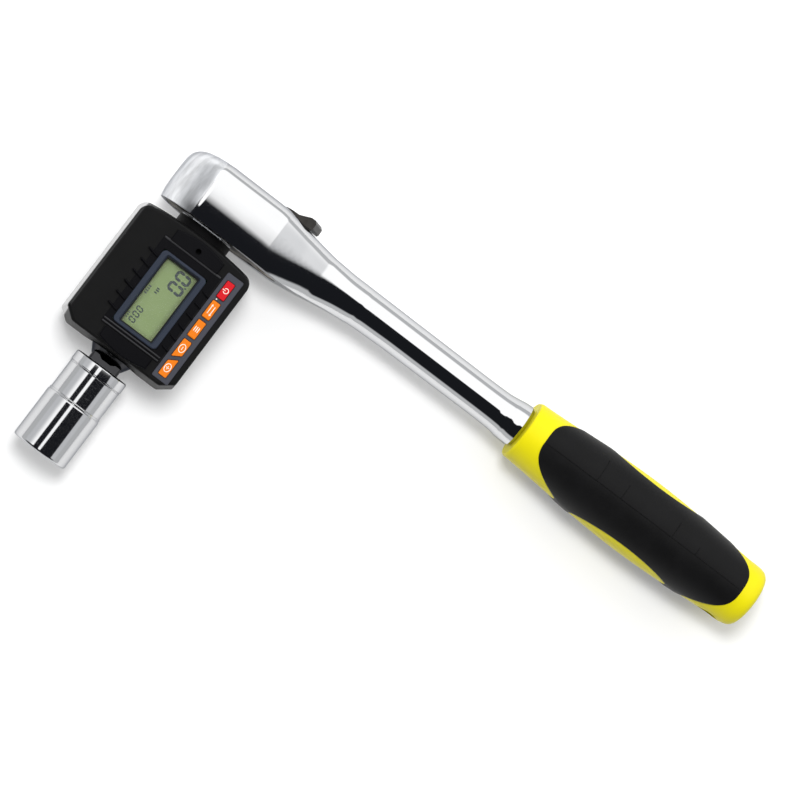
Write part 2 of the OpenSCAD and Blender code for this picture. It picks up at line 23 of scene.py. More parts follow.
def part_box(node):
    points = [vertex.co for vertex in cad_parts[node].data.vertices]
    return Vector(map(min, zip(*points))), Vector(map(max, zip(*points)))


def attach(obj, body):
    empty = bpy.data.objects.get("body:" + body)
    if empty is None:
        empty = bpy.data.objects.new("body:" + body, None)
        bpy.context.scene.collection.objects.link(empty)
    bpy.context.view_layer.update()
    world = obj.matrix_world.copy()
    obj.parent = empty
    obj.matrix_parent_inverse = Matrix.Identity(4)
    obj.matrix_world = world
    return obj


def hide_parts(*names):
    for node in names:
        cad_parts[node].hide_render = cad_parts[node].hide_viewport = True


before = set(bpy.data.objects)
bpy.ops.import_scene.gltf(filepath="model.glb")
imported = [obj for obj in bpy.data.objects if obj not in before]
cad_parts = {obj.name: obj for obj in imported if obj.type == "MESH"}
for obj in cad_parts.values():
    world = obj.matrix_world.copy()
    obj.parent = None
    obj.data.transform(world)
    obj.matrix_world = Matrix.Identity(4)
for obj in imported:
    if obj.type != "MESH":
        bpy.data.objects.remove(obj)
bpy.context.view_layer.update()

LOG = logging.getLogger("torque_wrench")
MM = 0.001
FACE_STEP = 0.2  # from the cover plate's outer face to the face the forging is drawn from
AXIS_RISE = 12.2  # from that face to the axis of the shank and the grip
SEAM_BLEND = 0.4  # half the width over which one finish runs into another
Point2 = tuple[float, float]
Point3 = tuple[float, float, float]


# --------------------------------------------------------------------------- shader graph


class Sock:
    """A shader socket that builds Math nodes from Python expressions."""

    def __init__(self, graph: "Graph", socket: bpy.types.NodeSocket) -> None:
        """Wraps a socket of a graph."""
        self.graph = graph
        self.socket = socket

    def _math(self, operation: str, *values: Union["Sock", float]) -> "Sock":
        """Adds one Math node on the values."""
        return self.graph.node("ShaderNodeMath", {"operation": operation}, *values)

    def __add__(self, other: Union["Sock", float]) -> "Sock":
        """Sum."""
        return self._math("ADD", self, other)

    __radd__ = __add__

    def __sub__(self, other: Union["Sock", float]) -> "Sock":
        """Difference."""
        return self._math("SUBTRACT", self, other)

    def __rsub__(self, other: float) -> "Sock":
        """Reflected difference."""
        return self._math("SUBTRACT", other, self)

    def __mul__(self, other: Union["Sock", float]) -> "Sock":
        """Product."""
        return self._math("MULTIPLY", self, other)

    __rmul__ = __mul__

    def __truediv__(self, other: Union["Sock", float]) -> "Sock":
        """Quotient."""
        return self._math("DIVIDE", self, other)

    def __abs__(self) -> "Sock":
        """Absolute value."""
        return self._math("ABSOLUTE", self)

    def power(self, exponent: float) -> "Sock":
        """This value to an exponent."""
        return self._math("POWER", self, exponent)

    def step(self, low: float, high: float) -> "Sock":
        """Rises smoothly from 0 at low to 1 at high."""
        return self.graph.node(
            "ShaderNodeMapRange",
            {"interpolation_type": "SMOOTHSTEP"},
            **{"Value": self, "From Min": low, "From Max": high},
        )


class Graph:
    """A node tree with one method that adds any node."""

    def __init__(self, tree: bpy.types.NodeTree) -> None:
        """Empties the tree and keeps it."""
        self.tree = tree
        tree.nodes.clear()

    def node(
        self,
        kind: str,
        settings: Optional[dict] = None,
        *values: object,
        out: Union[str, int] = 0,
        **named: object,
    ) -> Sock:
        """Adds a node.

        Args:
            kind: The node's type name.
            settings: Properties to set first.
            values: Values or links for the first inputs, in order.
            out: The output to return.
            named: Values or links by input name.

        Returns:
            The chosen output.
        """
        made = self.tree.nodes.new(kind)
        for key, value in (settings or {}).items():
            setattr(made, key, value)
        for index, value in enumerate(values):
            self._feed(made.inputs[index], value)
        for key, value in named.items():
            self._feed(self._input(made, key), value)
        return Sock(self, made.outputs[out]) if len(made.outputs) else Sock(self, None)

    @staticmethod
    def _input(made: bpy.types.Node, key: str) -> bpy.types.NodeSocket:
        """The enabled input with that name."""
        found = [s for s in made.inputs if s.name == key and s.enabled]
        return found[0] if found else made.inputs[key]

    def _feed(self, socket: bpy.types.NodeSocket, value: object) -> None:
        """Links or sets an input."""
        if isinstance(value, Sock):
            self.tree.links.new(value.socket, socket)
        elif isinstance(value, tuple) and len(value) == 3 and socket.type == "RGBA":
            socket.default_value = (*value, 1.0)
        else:
            socket.default_value = value

    def coords(self, scale: Point3 = (1, 1, 1)) -> Sock:
        """Object coordinates in millimetres, stretched by scale."""
        place = self.node("ShaderNodeTexCoord", out="Object")
        factor = tuple(s / MM for s in scale)
        return self.node("ShaderNodeMapping", None, Vector=place, Scale=factor)

    def axes(self) -> tuple[Sock, Sock, Sock]:
        """Object X, Y and Z in millimetres."""
        split = self.node("ShaderNodeSeparateXYZ", None, self.coords()).socket.node
        return tuple(Sock(self, split.outputs[k]) for k in range(3))

    def noise(
        self, size: float, detail: float = 3.0, stretch: Point3 = (1, 1, 1), rough: float = 0.5
    ) -> Sock:
        """Noise whose features are about size millimetres across."""
        vector = self.coords(tuple(s / size for s in stretch))
        return self.node(
            "ShaderNodeTexNoise", None, Vector=vector, Scale=1.0, Detail=detail, Roughness=rough
        )

    def mix(self, factor: Union[Sock, float], first: object, second: object) -> Sock:
        """Colour between two colours."""
        made = self.node("ShaderNodeMix", {"data_type": "RGBA"}, out=2)
        node = made.socket.node
        self._feed(node.inputs[0], factor)
        self._feed(node.inputs[6], first)
        self._feed(node.inputs[7], second)
        return made

    def bump(self, height: Sock, distance_mm: float) -> Sock:
        """Normal bent by a height that spans distance_mm."""
        return self.node("ShaderNodeBump", None, Height=height, Distance=distance_mm * MM, Strength=1.0)

    def principled(self, inputs: dict[str, object]) -> Sock:
        """A Principled shader with its inputs set or linked by name."""
        return self.node("ShaderNodeBsdfPrincipled", None, **inputs)


@dataclass(frozen=True)
class Finish:
    """What every finish shares: a name and how it becomes a material."""

    name: str

    def material(self) -> bpy.types.Material:
        """The finish's material, made once."""
        title = "finish_" + self.name
        found = bpy.data.materials.get(title)
        if found:
            return found
        made = bpy.data.materials.new(title)
        made.use_nodes = True
        graph = Graph(made.node_tree)
        surface = self.shade(graph)
        graph.node("ShaderNodeOutputMaterial", None, surface)
        return made

    def shade(self, graph: Graph) -> Sock:
        """Builds the shader; each finish has its own."""
        raise NotImplementedError


@dataclass(frozen=True)
class Chrome(Finish):
    """Bright plating: faint waviness, fine scratches and a duller brushed stretch."""

    tint: Point3 = (0.86, 0.87, 0.89)
    rough: float = 0.035
    brushed_below_x: float = -1000.0
    brushed_tint: Point3 = (0.93, 0.94, 0.96)
    brushed_rough: float = 0.2
    wave: float = 0.004
    rim: Point3 = (0.4, 0.41, 0.43)
    soiled: float = 0.42

    def shade(self, graph: Graph) -> Sock:
        """Metal whose roughness follows smudges, scratches and the brushed stretch."""
        smudge = graph.noise(14.0, 4.0)
        scratch = graph.noise(0.9, 2.0, (0.06, 1.0, 1.0)).step(0.62, 0.8)
        along_x = graph.axes()[0]
        edge = self.brushed_below_x
        brushed = 1.0 - along_x.step(edge - SEAM_BLEND, edge + SEAM_BLEND)
        lines = graph.noise(0.5, 3.0, (1.0, 0.12, 1.0))
        satin = brushed * (self.brushed_rough + lines * 0.12)
        rough = self.rough + smudge * 0.03 + scratch * 0.05 + satin
        streak = graph.noise(3.2, 4.0, (1.0, 0.3, 1.0)).step(0.3, 0.7)
        plated = graph.mix(brushed, self.tint, self.brushed_tint)
        dull = tuple(self.soiled * c for c in self.tint)
        tint = graph.mix(smudge * 0.1 + brushed * streak * 0.45, plated, dull)
        height = graph.noise(7.0, 1.0) * 0.7 + lines * brushed * 0.3
        return graph.principled(
            {
                "Base Color": tint,
                "Metallic": 1.0,
                "Roughness": rough,
                "Specular Tint": self.rim,
                "Normal": graph.bump(height, self.wave),
            }
        )


@dataclass(frozen=True)
class Steel(Finish):
    """Ground or stamped steel with a directional grain."""

    tint: Point3 = (0.45, 0.45, 0.47)
    rough: float = 0.28
    grain: Point3 = (0.05, 1.0, 1.0)
    dark_within: float = 0.0

    def shade(self, graph: Graph) -> Sock:
        """Metal with grain in roughness, colour and bump, darkened to near black within dark_within of
        the drive axis.
        """
        x, _, z = graph.axes()
        # Darkens the colour to near black within dark_within millimetres of the drive axis.
        near_axis_dark = 1.0 - (x * x + z * z).power(0.5).step(self.dark_within - 0.6, self.dark_within + 0.01)
        grain = graph.noise(0.35, 3.0, self.grain)
        stain = graph.noise(5.0, 4.0)
        dark = tuple(0.62 * c for c in self.tint)
        body = graph.mix(stain.step(0.35, 0.75) * 0.6 + grain * 0.2, self.tint, dark)
        return graph.principled(
            {
                "Base Color": graph.mix(near_axis_dark, body, tuple(0.08 * c for c in self.tint)),
                "Metallic": 1.0,
                "Roughness": self.rough + grain * 0.18,
                "Normal": graph.bump(grain, 0.012),
            }
        )


@dataclass(frozen=True)
class Moulding(Finish):
    """Moulded plastic or rubber: spark-eroded grain, soft mottling and rubbed high spots."""

    tint: Point3 = (0.02, 0.02, 0.021)
    worn: Point3 = (0.05, 0.05, 0.052)
    rough: float = 0.45
    grain_mm: float = 0.22
    grain_depth: float = 0.012
    specular: float = 0.5
    mottle: float = 0.5
    polished_left_of: float = -1000.0

    def shade(self, graph: Graph) -> Sock:
        """Dielectric with grain in bump and roughness and mottled colour."""
        grain = graph.noise(self.grain_mm, 2.0)
        cloud = graph.noise(9.0, 5.0, rough=0.6)
        fleck = graph.noise(1.3, 4.0, rough=0.7).step(0.6, 0.82)
        colour = graph.mix(cloud.step(0.3, 0.8) * self.mottle + fleck * 0.15, self.tint, self.worn)
        edge = self.polished_left_of
        polish = 1.0 - graph.axes()[0].step(edge - SEAM_BLEND, edge + SEAM_BLEND)
        rough = self.rough + (cloud - 0.5) * 0.16 + (grain - 0.5) * 0.1
        return graph.principled(
            {
                "Base Color": colour,
                "Roughness": rough * (1.0 - polish * 0.6),
                "Specular IOR Level": self.specular,
                "Coat Weight": polish * 0.6,
                "Coat Roughness": 0.12,
                "Coat IOR": 1.6,
                "Normal": graph.bump(grain, self.grain_depth),
            }
        )


@dataclass(frozen=True)
class DisplayCell(Finish):
    """The display's backing: green, with painted shade darkening it towards its edges."""

    centre: Point2 = (0.0, 0.0)
    half: Point2 = (7.0, 14.0)
    tint: Point3 = (0.16, 0.225, 0.08)
    # edge is the painted shade colour that the cell darkens to at its rims.
    edge: Point3 = (0.08, 0.105, 0.03)

    def shade(self, graph: Graph) -> Sock:
        """Green backing with painted shade on its rims, where the bezel and liner shade the sunk cell.
        """
        x, y, _ = graph.axes()
        # Painted shade: these masks darken the cell towards its rims, where the bezel and liner shade
        # it.
        rim_shade_x = (abs(x - self.centre[0]) / self.half[0]).step(0.72, 1.02)
        rim_shade_y = (abs(y - self.centre[1]) / self.half[1]).step(0.86, 1.02)
        cloud = graph.noise(8.0, 3.0)
        colour = graph.mix(rim_shade_x * 0.55 + rim_shade_y * 0.45 + cloud * 0.12, self.tint, self.edge)
        return graph.principled(
            {"Base Color": colour, "Roughness": 0.5 + cloud * 0.1, "Specular IOR Level": 0.1}
        )


@dataclass(frozen=True)
class ClearWindow(Finish):
    """A clear moulded window: mostly see-through, with a glossy skin."""

    cover: float = 0.02

    def shade(self, graph: Graph) -> Sock:
        """Gloss that lets what is behind show."""
        dust = graph.noise(3.0, 5.0)
        return graph.principled(
            {
                "Base Color": (0.8, 0.85, 0.8), "Roughness": 0.06 + dust * 0.06,
                "Alpha": self.cover + dust * 0.03,
            }
        )


@dataclass(frozen=True)
class PlainFloor(Finish):
    """The pale ground."""

    tint: Point3 = (0.66, 0.66, 0.66)
    glow: float = 0.27

    def shade(self, graph: Graph) -> Sock:
        """Matt white."""
        second = tuple(0.99 * c for c in self.tint)
        return graph.principled(
            {
                "Base Color": graph.mix(graph.noise(60.0, 2.0), self.tint, second),
                "Roughness": 0.9,
                "Specular IOR Level": 0.1,
                "Emission Color": (1.0, 1.0, 1.0),
                "Emission Strength": self.glow,
            }
        )


class Look(Enum):
    """Every finish on the tool, by the part it dresses."""

    FORGING = Chrome(
        "forging_chrome", brushed_below_x=-8.3, rough=0.035, tint=(0.71, 0.713, 0.72), wave=0.0016
    )
    DRIVE = Chrome("drive_chrome", rough=0.09, tint=(0.7, 0.71, 0.73))
    # The torsion shaft is chrome; its near-black tint is a painted reflection of the black casing
    # mirrored in it.
    SHAFT = Chrome("shaft_chrome", rough=0.1, tint=(0.05, 0.05, 0.053))
    SOCKET = Chrome("socket_chrome", rough=0.06, wave=0.002, tint=(0.66, 0.663, 0.67))
    PLATE = Steel("plate_steel", tint=(0.3, 0.25, 0.19), rough=0.3, dark_within=14.0)
    GROUND = Steel("ground_steel", tint=(0.5, 0.5, 0.52))
    SCREW = Steel("screw_steel", tint=(0.16, 0.16, 0.17), rough=0.35)
    BRONZE = Steel("sintered_bronze", tint=(0.55, 0.36, 0.18), rough=0.4)
    YELLOW = Moulding(
        "grip_yellow", tint=(0.72, 0.64, 0.006), worn=(0.66, 0.58, 0.006), rough=0.42,
        grain_depth=0.006, mottle=0.3, specular=0.14
    )
    RUBBER = Moulding(
        "grip_rubber", tint=(0.005, 0.005, 0.0052), worn=(0.009, 0.009, 0.0095), rough=0.5,
        grain_depth=0.02, specular=0.13
    )
    LEVER = Moulding(
        "lever_black", tint=(0.022, 0.02, 0.018), worn=(0.045, 0.042, 0.038), rough=0.36, specular=0.2
    )
    CASING = Moulding(
        "casing_black", tint=(0.0045, 0.0045, 0.0046), worn=(0.007, 0.007, 0.0072), rough=0.5,
        grain_depth=0.006,
        specular=0.13, polished_left_of=-22.6,
    )
    SADDLE = Moulding(
        "saddle_black", tint=(0.0022, 0.0022, 0.003), worn=(0.004, 0.004, 0.005), rough=0.26,
        grain_depth=0.003, specular=0.07
    )
    # A lighter black than the casing: the tint is a painted highlight on the raised lines.
    RIDGE = Moulding(
        "ridge_black", tint=(0.02, 0.02, 0.022), worn=(0.03, 0.03, 0.033), rough=0.3, grain_depth=0.003,
        specular=0.4
    )
    COLLAR = Moulding(
        "collar_black", tint=(0.003, 0.003, 0.0032), worn=(0.005, 0.005, 0.0055), rough=0.5,
        specular=0.1,
    )
    BEZEL = Moulding(
        "bezel_slate", tint=(0.02, 0.026, 0.041), worn=(0.026, 0.033, 0.05), rough=0.4,
        grain_depth=0.004, specular=0.25
    )
    PANEL = Moulding(
        "panel_grey", tint=(0.045, 0.047, 0.06), worn=(0.055, 0.058, 0.07), rough=0.45, specular=0.25
    )
    RED = Moulding(
        "key_red", tint=(0.5, 0.004, 0.01), worn=(0.56, 0.01, 0.015), rough=0.4, specular=0.25
    )
    ORANGE = Moulding(
        "key_orange", tint=(0.66, 0.155, 0.004), worn=(0.7, 0.19, 0.008), rough=0.4, specular=0.25
    )
    LEGEND = Moulding("key_legend", tint=(0.85, 0.8, 0.72), worn=(0.7, 0.62, 0.5), rough=0.5)
    SEGMENT = Moulding(
        "display_segment", tint=(0.006, 0.014, 0.018), worn=(0.012, 0.022, 0.026), rough=0.5,
        specular=0.1,
    )
    GAP = Moulding("gap_black", tint=(0.003, 0.003, 0.003), worn=(0.004, 0.004, 0.004), rough=0.7)
    BOARD = Moulding("board_green", tint=(0.01, 0.1, 0.04), worn=(0.02, 0.14, 0.06), rough=0.3)
    WIRE = Moulding("wire_red", tint=(0.4, 0.02, 0.02), rough=0.35)
    FOIL = Moulding("gauge_foil", tint=(0.5, 0.3, 0.08), worn=(0.6, 0.4, 0.15), rough=0.3)
    CELL_WRAP = Moulding("battery_wrap", tint=(0.05, 0.05, 0.055), worn=(0.09, 0.09, 0.09), rough=0.3)

    @property
    def material(self) -> bpy.types.Material:
        """The look's material."""
        return self.value.material()


CAD_LOOKS: dict[Look, tuple[str, ...]] = {
    Look.PLATE: ("cover_plate",),
    Look.SCREW: ("plate_screws", "board_screws", "door_screw", "case_screws"),
    Look.GROUND: (
        "pawl", "pawl_pin", "lever_spindle", "pawl_plunger", "plunger_spring", "drive_ball",
        "drive_ball_spring", "adapter_ball", "adapter_ball_spring",
    ),
    Look.LEVER: ("reverse_lever",),
    Look.CASING: ("battery_door",),
    Look.COLLAR: (
        "spindle_ring", "input_collar", "output_seal", "board_chips", "contact_strips", "key_switches",
        "buzzer",
    ),
    Look.DRIVE: ("drive_gear",),
    Look.BRONZE: ("thrust_washer", "output_bush", "battery_contacts"),
    Look.SHAFT: ("torsion_shaft",),
    Look.FOIL: ("strain_gauges",),
    Look.WIRE: ("gauge_leads",),
    Look.BOARD: ("circuit_board",),
    Look.CELL_WRAP: ("batteries",),
}


# --------------------------------------------------------------------------- mesh helpers


def new_object(name: str, mesh: bpy.types.Mesh, look: Look, smooth: float = 35.0) -> bpy.types.Object:
    """Links a mesh as an object.

    Args:
        name: The piece's name.
        mesh: Its mesh, in place.
        look: Its finish.
        smooth: Edges flatter than this many degrees are shaded smooth.

    Returns:
        The object.
    """
    made = bpy.data.objects.new(name, mesh)
    bpy.context.scene.collection.objects.link(made)
    mesh.materials.clear()
    mesh.materials.append(look.material)
    mesh.shade_smooth()
    mesh.set_sharp_from_angle(angle=math.radians(smooth))
    return made


def mesh_from(
    name: str, points: Sequence[Sequence[float]], faces: Sequence[Sequence[int]]
) -> bpy.types.Mesh:
    """A clean mesh from points in millimetres.

    Args:
        name: The mesh's name.
        points: Corners in millimetres.
        faces: Corner numbers of each face.

    Returns:
        A mesh with doubles merged and normals outwards.
    """
    mesh = bpy.data.meshes.new(name)
    mesh.from_pydata([tuple(c * MM for c in p) for p in points], [], [tuple(f) for f in faces])
    tidy(mesh)
    return mesh


def tidy(mesh: bpy.types.Mesh, merge_mm: float = 0.002) -> None:
    """Merges doubles, drops slivers and turns faces outwards."""
    work = bmesh.new()
    work.from_mesh(mesh)
    bmesh.ops.remove_doubles(work, verts=work.verts, dist=merge_mm * MM)
    bmesh.ops.dissolve_degenerate(work, edges=work.edges, dist=1e-7)
    bmesh.ops.recalc_face_normals(work, faces=work.faces)
    work.to_mesh(mesh)
    work.free()


def grid_faces(
    rows: int, columns: int, wrap: bool = False, start: int = 0
) -> list[tuple[int, int, int, int]]:
    """Quads of a grid of points stored row by row.

    Args:
        rows: Number of rows.
        columns: Number of points in a row.
        wrap: Whether each row closes on itself.
        start: Number of the first point.

    Returns:
        The quads.
    """
    faces = []
    for i in range(rows - 1):
        for j in range(columns if wrap else columns - 1):
            k = (j + 1) % columns
            a, b = start + i * columns, start + (i + 1) * columns
            faces.append((a + j, a + k, b + k, b + j))
    return faces


def loft(name: str, rings: Sequence[Sequence[Point3]]) -> bpy.types.Mesh:
    """A closed solid through rings with equal numbers of points."""
    count = len(rings[0])
    points = [p for ring in rings for p in ring]
    faces: list[tuple[int, ...]] = list(grid_faces(len(rings), count, wrap=True))
    faces.append(tuple(range(count)))
    last = (len(rings) - 1) * count
    faces.append(tuple(last + k for k in reversed(range(count))))
    return mesh_from(name, points, faces)


def prism(
    name: str, outline: Sequence[Point2], z0: float, z1: float, edge: float = 0.0
) -> bpy.types.Mesh:
    """An upright prism on an outline in X and Y, with its top edge rounded.

    Args:
        name: The mesh's name.
        outline: Corners in millimetres, in order.
        z0: Height of the base.
        z1: Height of the top.
        edge: Radius of the rounded top edge.

    Returns:
        The mesh.
    """
    levels = [(z0, 0.0)]
    if edge > 0:
        steps = 4
        for k in range(steps + 1):
            a = math.pi / 2 * k / steps
            levels.append((z1 - edge + edge * math.sin(a), edge * (1 - math.cos(a))))
    else:
        levels.append((z1, 0.0))
    rings = [[(x, y, z) for x, y in inset_outline(outline, inset)] for z, inset in levels]
    return loft(name, rings)


def slab(
    name: str, outline: Sequence[Point2], heights: Point2, look: Look, edge: float = 0.0,
    smooth: float = 35.0
) -> bpy.types.Object:
    """A prism as a finished object.

    Args:
        name: The piece's name.
        outline: Corners in millimetres, in order.
        heights: Heights of its base and its top.
        look: Its finish.
        edge: Radius of the rounded top edge.
        smooth: Edges flatter than this many degrees are shaded smooth.

    Returns:
        The object.
    """
    return new_object(name, prism(name, outline, *heights, edge), look, smooth)


def inset_outline(outline: Sequence[Point2], inset: float) -> list[Point2]:
    """The outline moved inwards by inset, corner by corner."""
    if inset == 0:
        return list(outline)
    points = np.array(outline, float)
    area = np.sum(points[:, 0] * np.roll(points[:, 1], -1) - points[:, 1] * np.roll(points[:, 0], -1))
    sign = 1.0 if area > 0 else -1.0
    before, after = np.roll(points, 1, 0), np.roll(points, -1, 0)
    d0, d1 = points - before, after - points
    d0 /= np.linalg.norm(d0, axis=1)[:, None]
    d1 /= np.linalg.norm(d1, axis=1)[:, None]
    n0 = np.stack([-d0[:, 1], d0[:, 0]], 1) * sign
    n1 = np.stack([-d1[:, 1], d1[:, 0]], 1) * sign
    middle = n0 + n1
    middle /= np.maximum(np.sum(middle * n0, 1), 0.25)[:, None]
    return [tuple(p) for p in points + middle * inset]


def box_outline(
    x0: float, y0: float, x1: float, y1: float, radius: float = 0.0, steps: int = 5
) -> list[Point2]:
    """A rectangle with rounded corners, in millimetres."""
    if radius <= 0:
        return [(x0, y0), (x1, y0), (x1, y1), (x0, y1)]
    centres = [(x1 - radius, y1 - radius, 0), (x0 + radius, y1 - radius, 90)]
    centres += [(x0 + radius, y0 + radius, 180), (x1 - radius, y0 + radius, 270)]
    return [p for cx, cy, a in centres for p in arc(cx, cy, radius, a, a + 90, steps)]


def arc(cx: float, cy: float, radius: float, a0: float, a1: float, steps: int) -> list[Point2]:
    """Points on an arc, angles in degrees."""
    angles = np.radians(np.linspace(a0, a1, steps + 1))
    return [(cx + radius * math.cos(a), cy + radius * math.sin(a)) for a in angles]


def circle(cx: float, cy: float, radius: float, count: int) -> list[Point2]:
    """Points spread evenly round a circle."""
    return arc(cx, cy, radius, 0, 360 - 360 / count, count - 1)


def bowed(x0: float, y0: float, x1: float, y1: float, bow: float, steps: int = 12) -> list[Point2]:
    """Points from one corner to another on a shallow curve that bows to its left."""
    t = np.linspace(0, 1, steps + 1)
    nx, ny = -(y1 - y0), x1 - x0
    size = math.hypot(nx, ny)
    lift = 4 * bow * t * (1 - t)
    return [
        (x0 + (x1 - x0) * a + nx / size * b, y0 + (y1 - y0) * a + ny / size * b)
        for a, b in zip(t, lift)
    ]


def turned(name: str, profile: Sequence[Point2], steps: int = 64) -> bpy.types.Mesh:
    """A solid of revolution about +Y, from (radius, height) points that start and end on the axis."""
    angles = np.linspace(0, 2 * math.pi, steps, endpoint=False)
    points = [(r * math.cos(a), h, r * math.sin(a)) for r, h in profile for a in angles]
    return mesh_from(name, points, grid_faces(len(profile), steps, wrap=True))


def carve(
    target: bpy.types.Object, tools: Iterable[bpy.types.Mesh], keep: str = "DIFFERENCE"
) -> bpy.types.Object:
    """Cuts meshes from an object, or keeps what they share.

    Args:
        target: The object to change.
        tools: Closed meshes.
        keep: DIFFERENCE, INTERSECT or UNION.

    Returns:
        The target, with its mesh replaced.
    """
    for mesh in tools:
        cutter = bpy.data.objects.new("cutter", mesh)
        bpy.context.scene.collection.objects.link(cutter)
        modifier = target.modifiers.new("carve", "BOOLEAN")
        modifier.operation, modifier.solver, modifier.object = keep, "EXACT", cutter
        bake(target)
        bpy.data.objects.remove(cutter)
    return target


def bake(target: bpy.types.Object) -> bpy.types.Object:
    """Applies an object's modifiers to its mesh."""
    evaluated = target.evaluated_get(bpy.context.evaluated_depsgraph_get())
    result = bpy.data.meshes.new_from_object(evaluated)
    target.modifiers.clear()
    old = target.data
    target.data = result
    result.name = target.name
    bpy.data.meshes.remove(old)
    return target


def soften(
    target: bpy.types.Object, width_mm: float, angle: float = 35.0, segments: int = 2
) -> bpy.types.Object:
    """Rounds the edges sharper than angle degrees."""
    modifier = target.modifiers.new("edge", "BEVEL")
    modifier.width = width_mm * MM
    modifier.segments = segments
    modifier.limit_method = "ANGLE"
    modifier.angle_limit = math.radians(angle)
    modifier.use_clamp_overlap = True
    modifier.harden_normals = False
    bake(target)
    target.data.shade_smooth()
    target.data.set_sharp_from_angle(angle=math.radians(40))
    return target


def row_tree() -> bpy.types.NodeTree:
    """A geometry node group that repeats a shape along a line."""
    found = bpy.data.node_groups.get("shape_row")
    if found:
        return found
    tree = bpy.data.node_groups.new("shape_row", "GeometryNodeTree")
    inputs = {"Geometry": "Geometry", "Count": "Int", "Step": "Vector", "Finish": "Material"}
    for name, kind in inputs.items():
        tree.interface.new_socket(name, in_out="INPUT", socket_type="NodeSocket" + kind)
    tree.interface.new_socket("Geometry", in_out="OUTPUT", socket_type="NodeSocketGeometry")
    graph = Graph(tree)
    source = graph.node("NodeGroupInput").socket.node
    count, step, finish = (Sock(graph, source.outputs[k]) for k in ("Count", "Step", "Finish"))
    line = graph.node("GeometryNodeMeshLine", {"mode": "OFFSET"}, Count=count, Offset=step)
    copies = graph.node(
        "GeometryNodeInstanceOnPoints", None, Points=line,
        Instance=Sock(graph, source.outputs["Geometry"])
    )
    real = graph.node("GeometryNodeRealizeInstances", None, copies)
    dressed = graph.node("GeometryNodeSetMaterial", None, Geometry=real, Material=finish)
    graph.node("NodeGroupOutput", None, dressed)
    return tree


def repeat(target: bpy.types.Object, count: int, step: Point3, look: Look) -> bpy.types.Object:
    """Repeats an object's mesh along a line.

    Args:
        target: The object with the first shape.
        count: Number of copies, the first included.
        step: Shift from one to the next, in millimetres.
        look: The finish of them all.

    Returns:
        The same object with all copies in its mesh.
    """
    tree = row_tree()
    modifier = target.modifiers.new("row", "NODES")
    modifier.node_group = tree
    values = {"Count": count, "Step": tuple(s * MM for s in step), "Finish": look.material}
    for item in tree.interface.items_tree:
        if item.in_out == "INPUT" and item.name in values:
            modifier[item.identifier] = values[item.name]
    return bake(target)


def join(name: str, pieces: Sequence[bpy.types.Object]) -> bpy.types.Object:
    """Joins objects of one finish into one."""
    work = bmesh.new()
    for piece in pieces:
        work.from_mesh(piece.data)
    mesh = pieces[0].data.copy()
    work.to_mesh(mesh)
    work.free()
    made = bpy.data.objects.new(name, mesh)
    bpy.context.scene.collection.objects.link(made)
    for piece in pieces:
        bpy.data.objects.remove(piece)
    return made


def even_normals(target: bpy.types.Object) -> bpy.types.Object:
    """Shades broad faces flat and lets only their rounded rims bend the light."""
    modifier = target.modifiers.new("normals", "WEIGHTED_NORMAL")
    modifier.mode, modifier.keep_sharp, modifier.weight = "FACE_AREA_WITH_ANGLE", True, 80
    return bake(target)


def settle(piece: bpy.types.Object, body: str, slot: str, *nodes: str) -> bpy.types.Object:
    """Hands a finished piece to the frame.

    Args:
        piece: The finished object.
        body: The body it rides on.
        slot: Not used.
        nodes: The CAD nodes it stands for.

    Returns:
        The piece.
    """
    even_normals(piece)
    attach(piece, body)
    if nodes:
        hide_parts(*nodes)
    LOG.info("%s rides on %s, %d faces", piece.name, body, len(piece.data.polygons))
    return piece


def span(node: str, axis: int) -> tuple[float, float]:
    """A CAD node's lowest and highest coordinate along an axis, in millimetres."""
    low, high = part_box(node)
    return low[axis] / MM, high[axis] / MM


def node_outline(node: str, radius: float = 0.0, steps: int = 5, grow: float = 0.0) -> list[Point2]:
    """A CAD node's box as an outline in X and Y.

    Args:
        node: The node's name.
        radius: Radius of the corners in millimetres.
        steps: Segments in each corner.
        grow: Distance to add on every side.

    Returns:
        Corners in millimetres.
    """
    (x0, x1), (y0, y1) = span(node, 0), span(node, 1)
    return box_outline(x0 - grow, y0 - grow, x1 + grow, y1 + grow, radius, steps)


# --------------------------------------------------------------------------- the ratchet handle


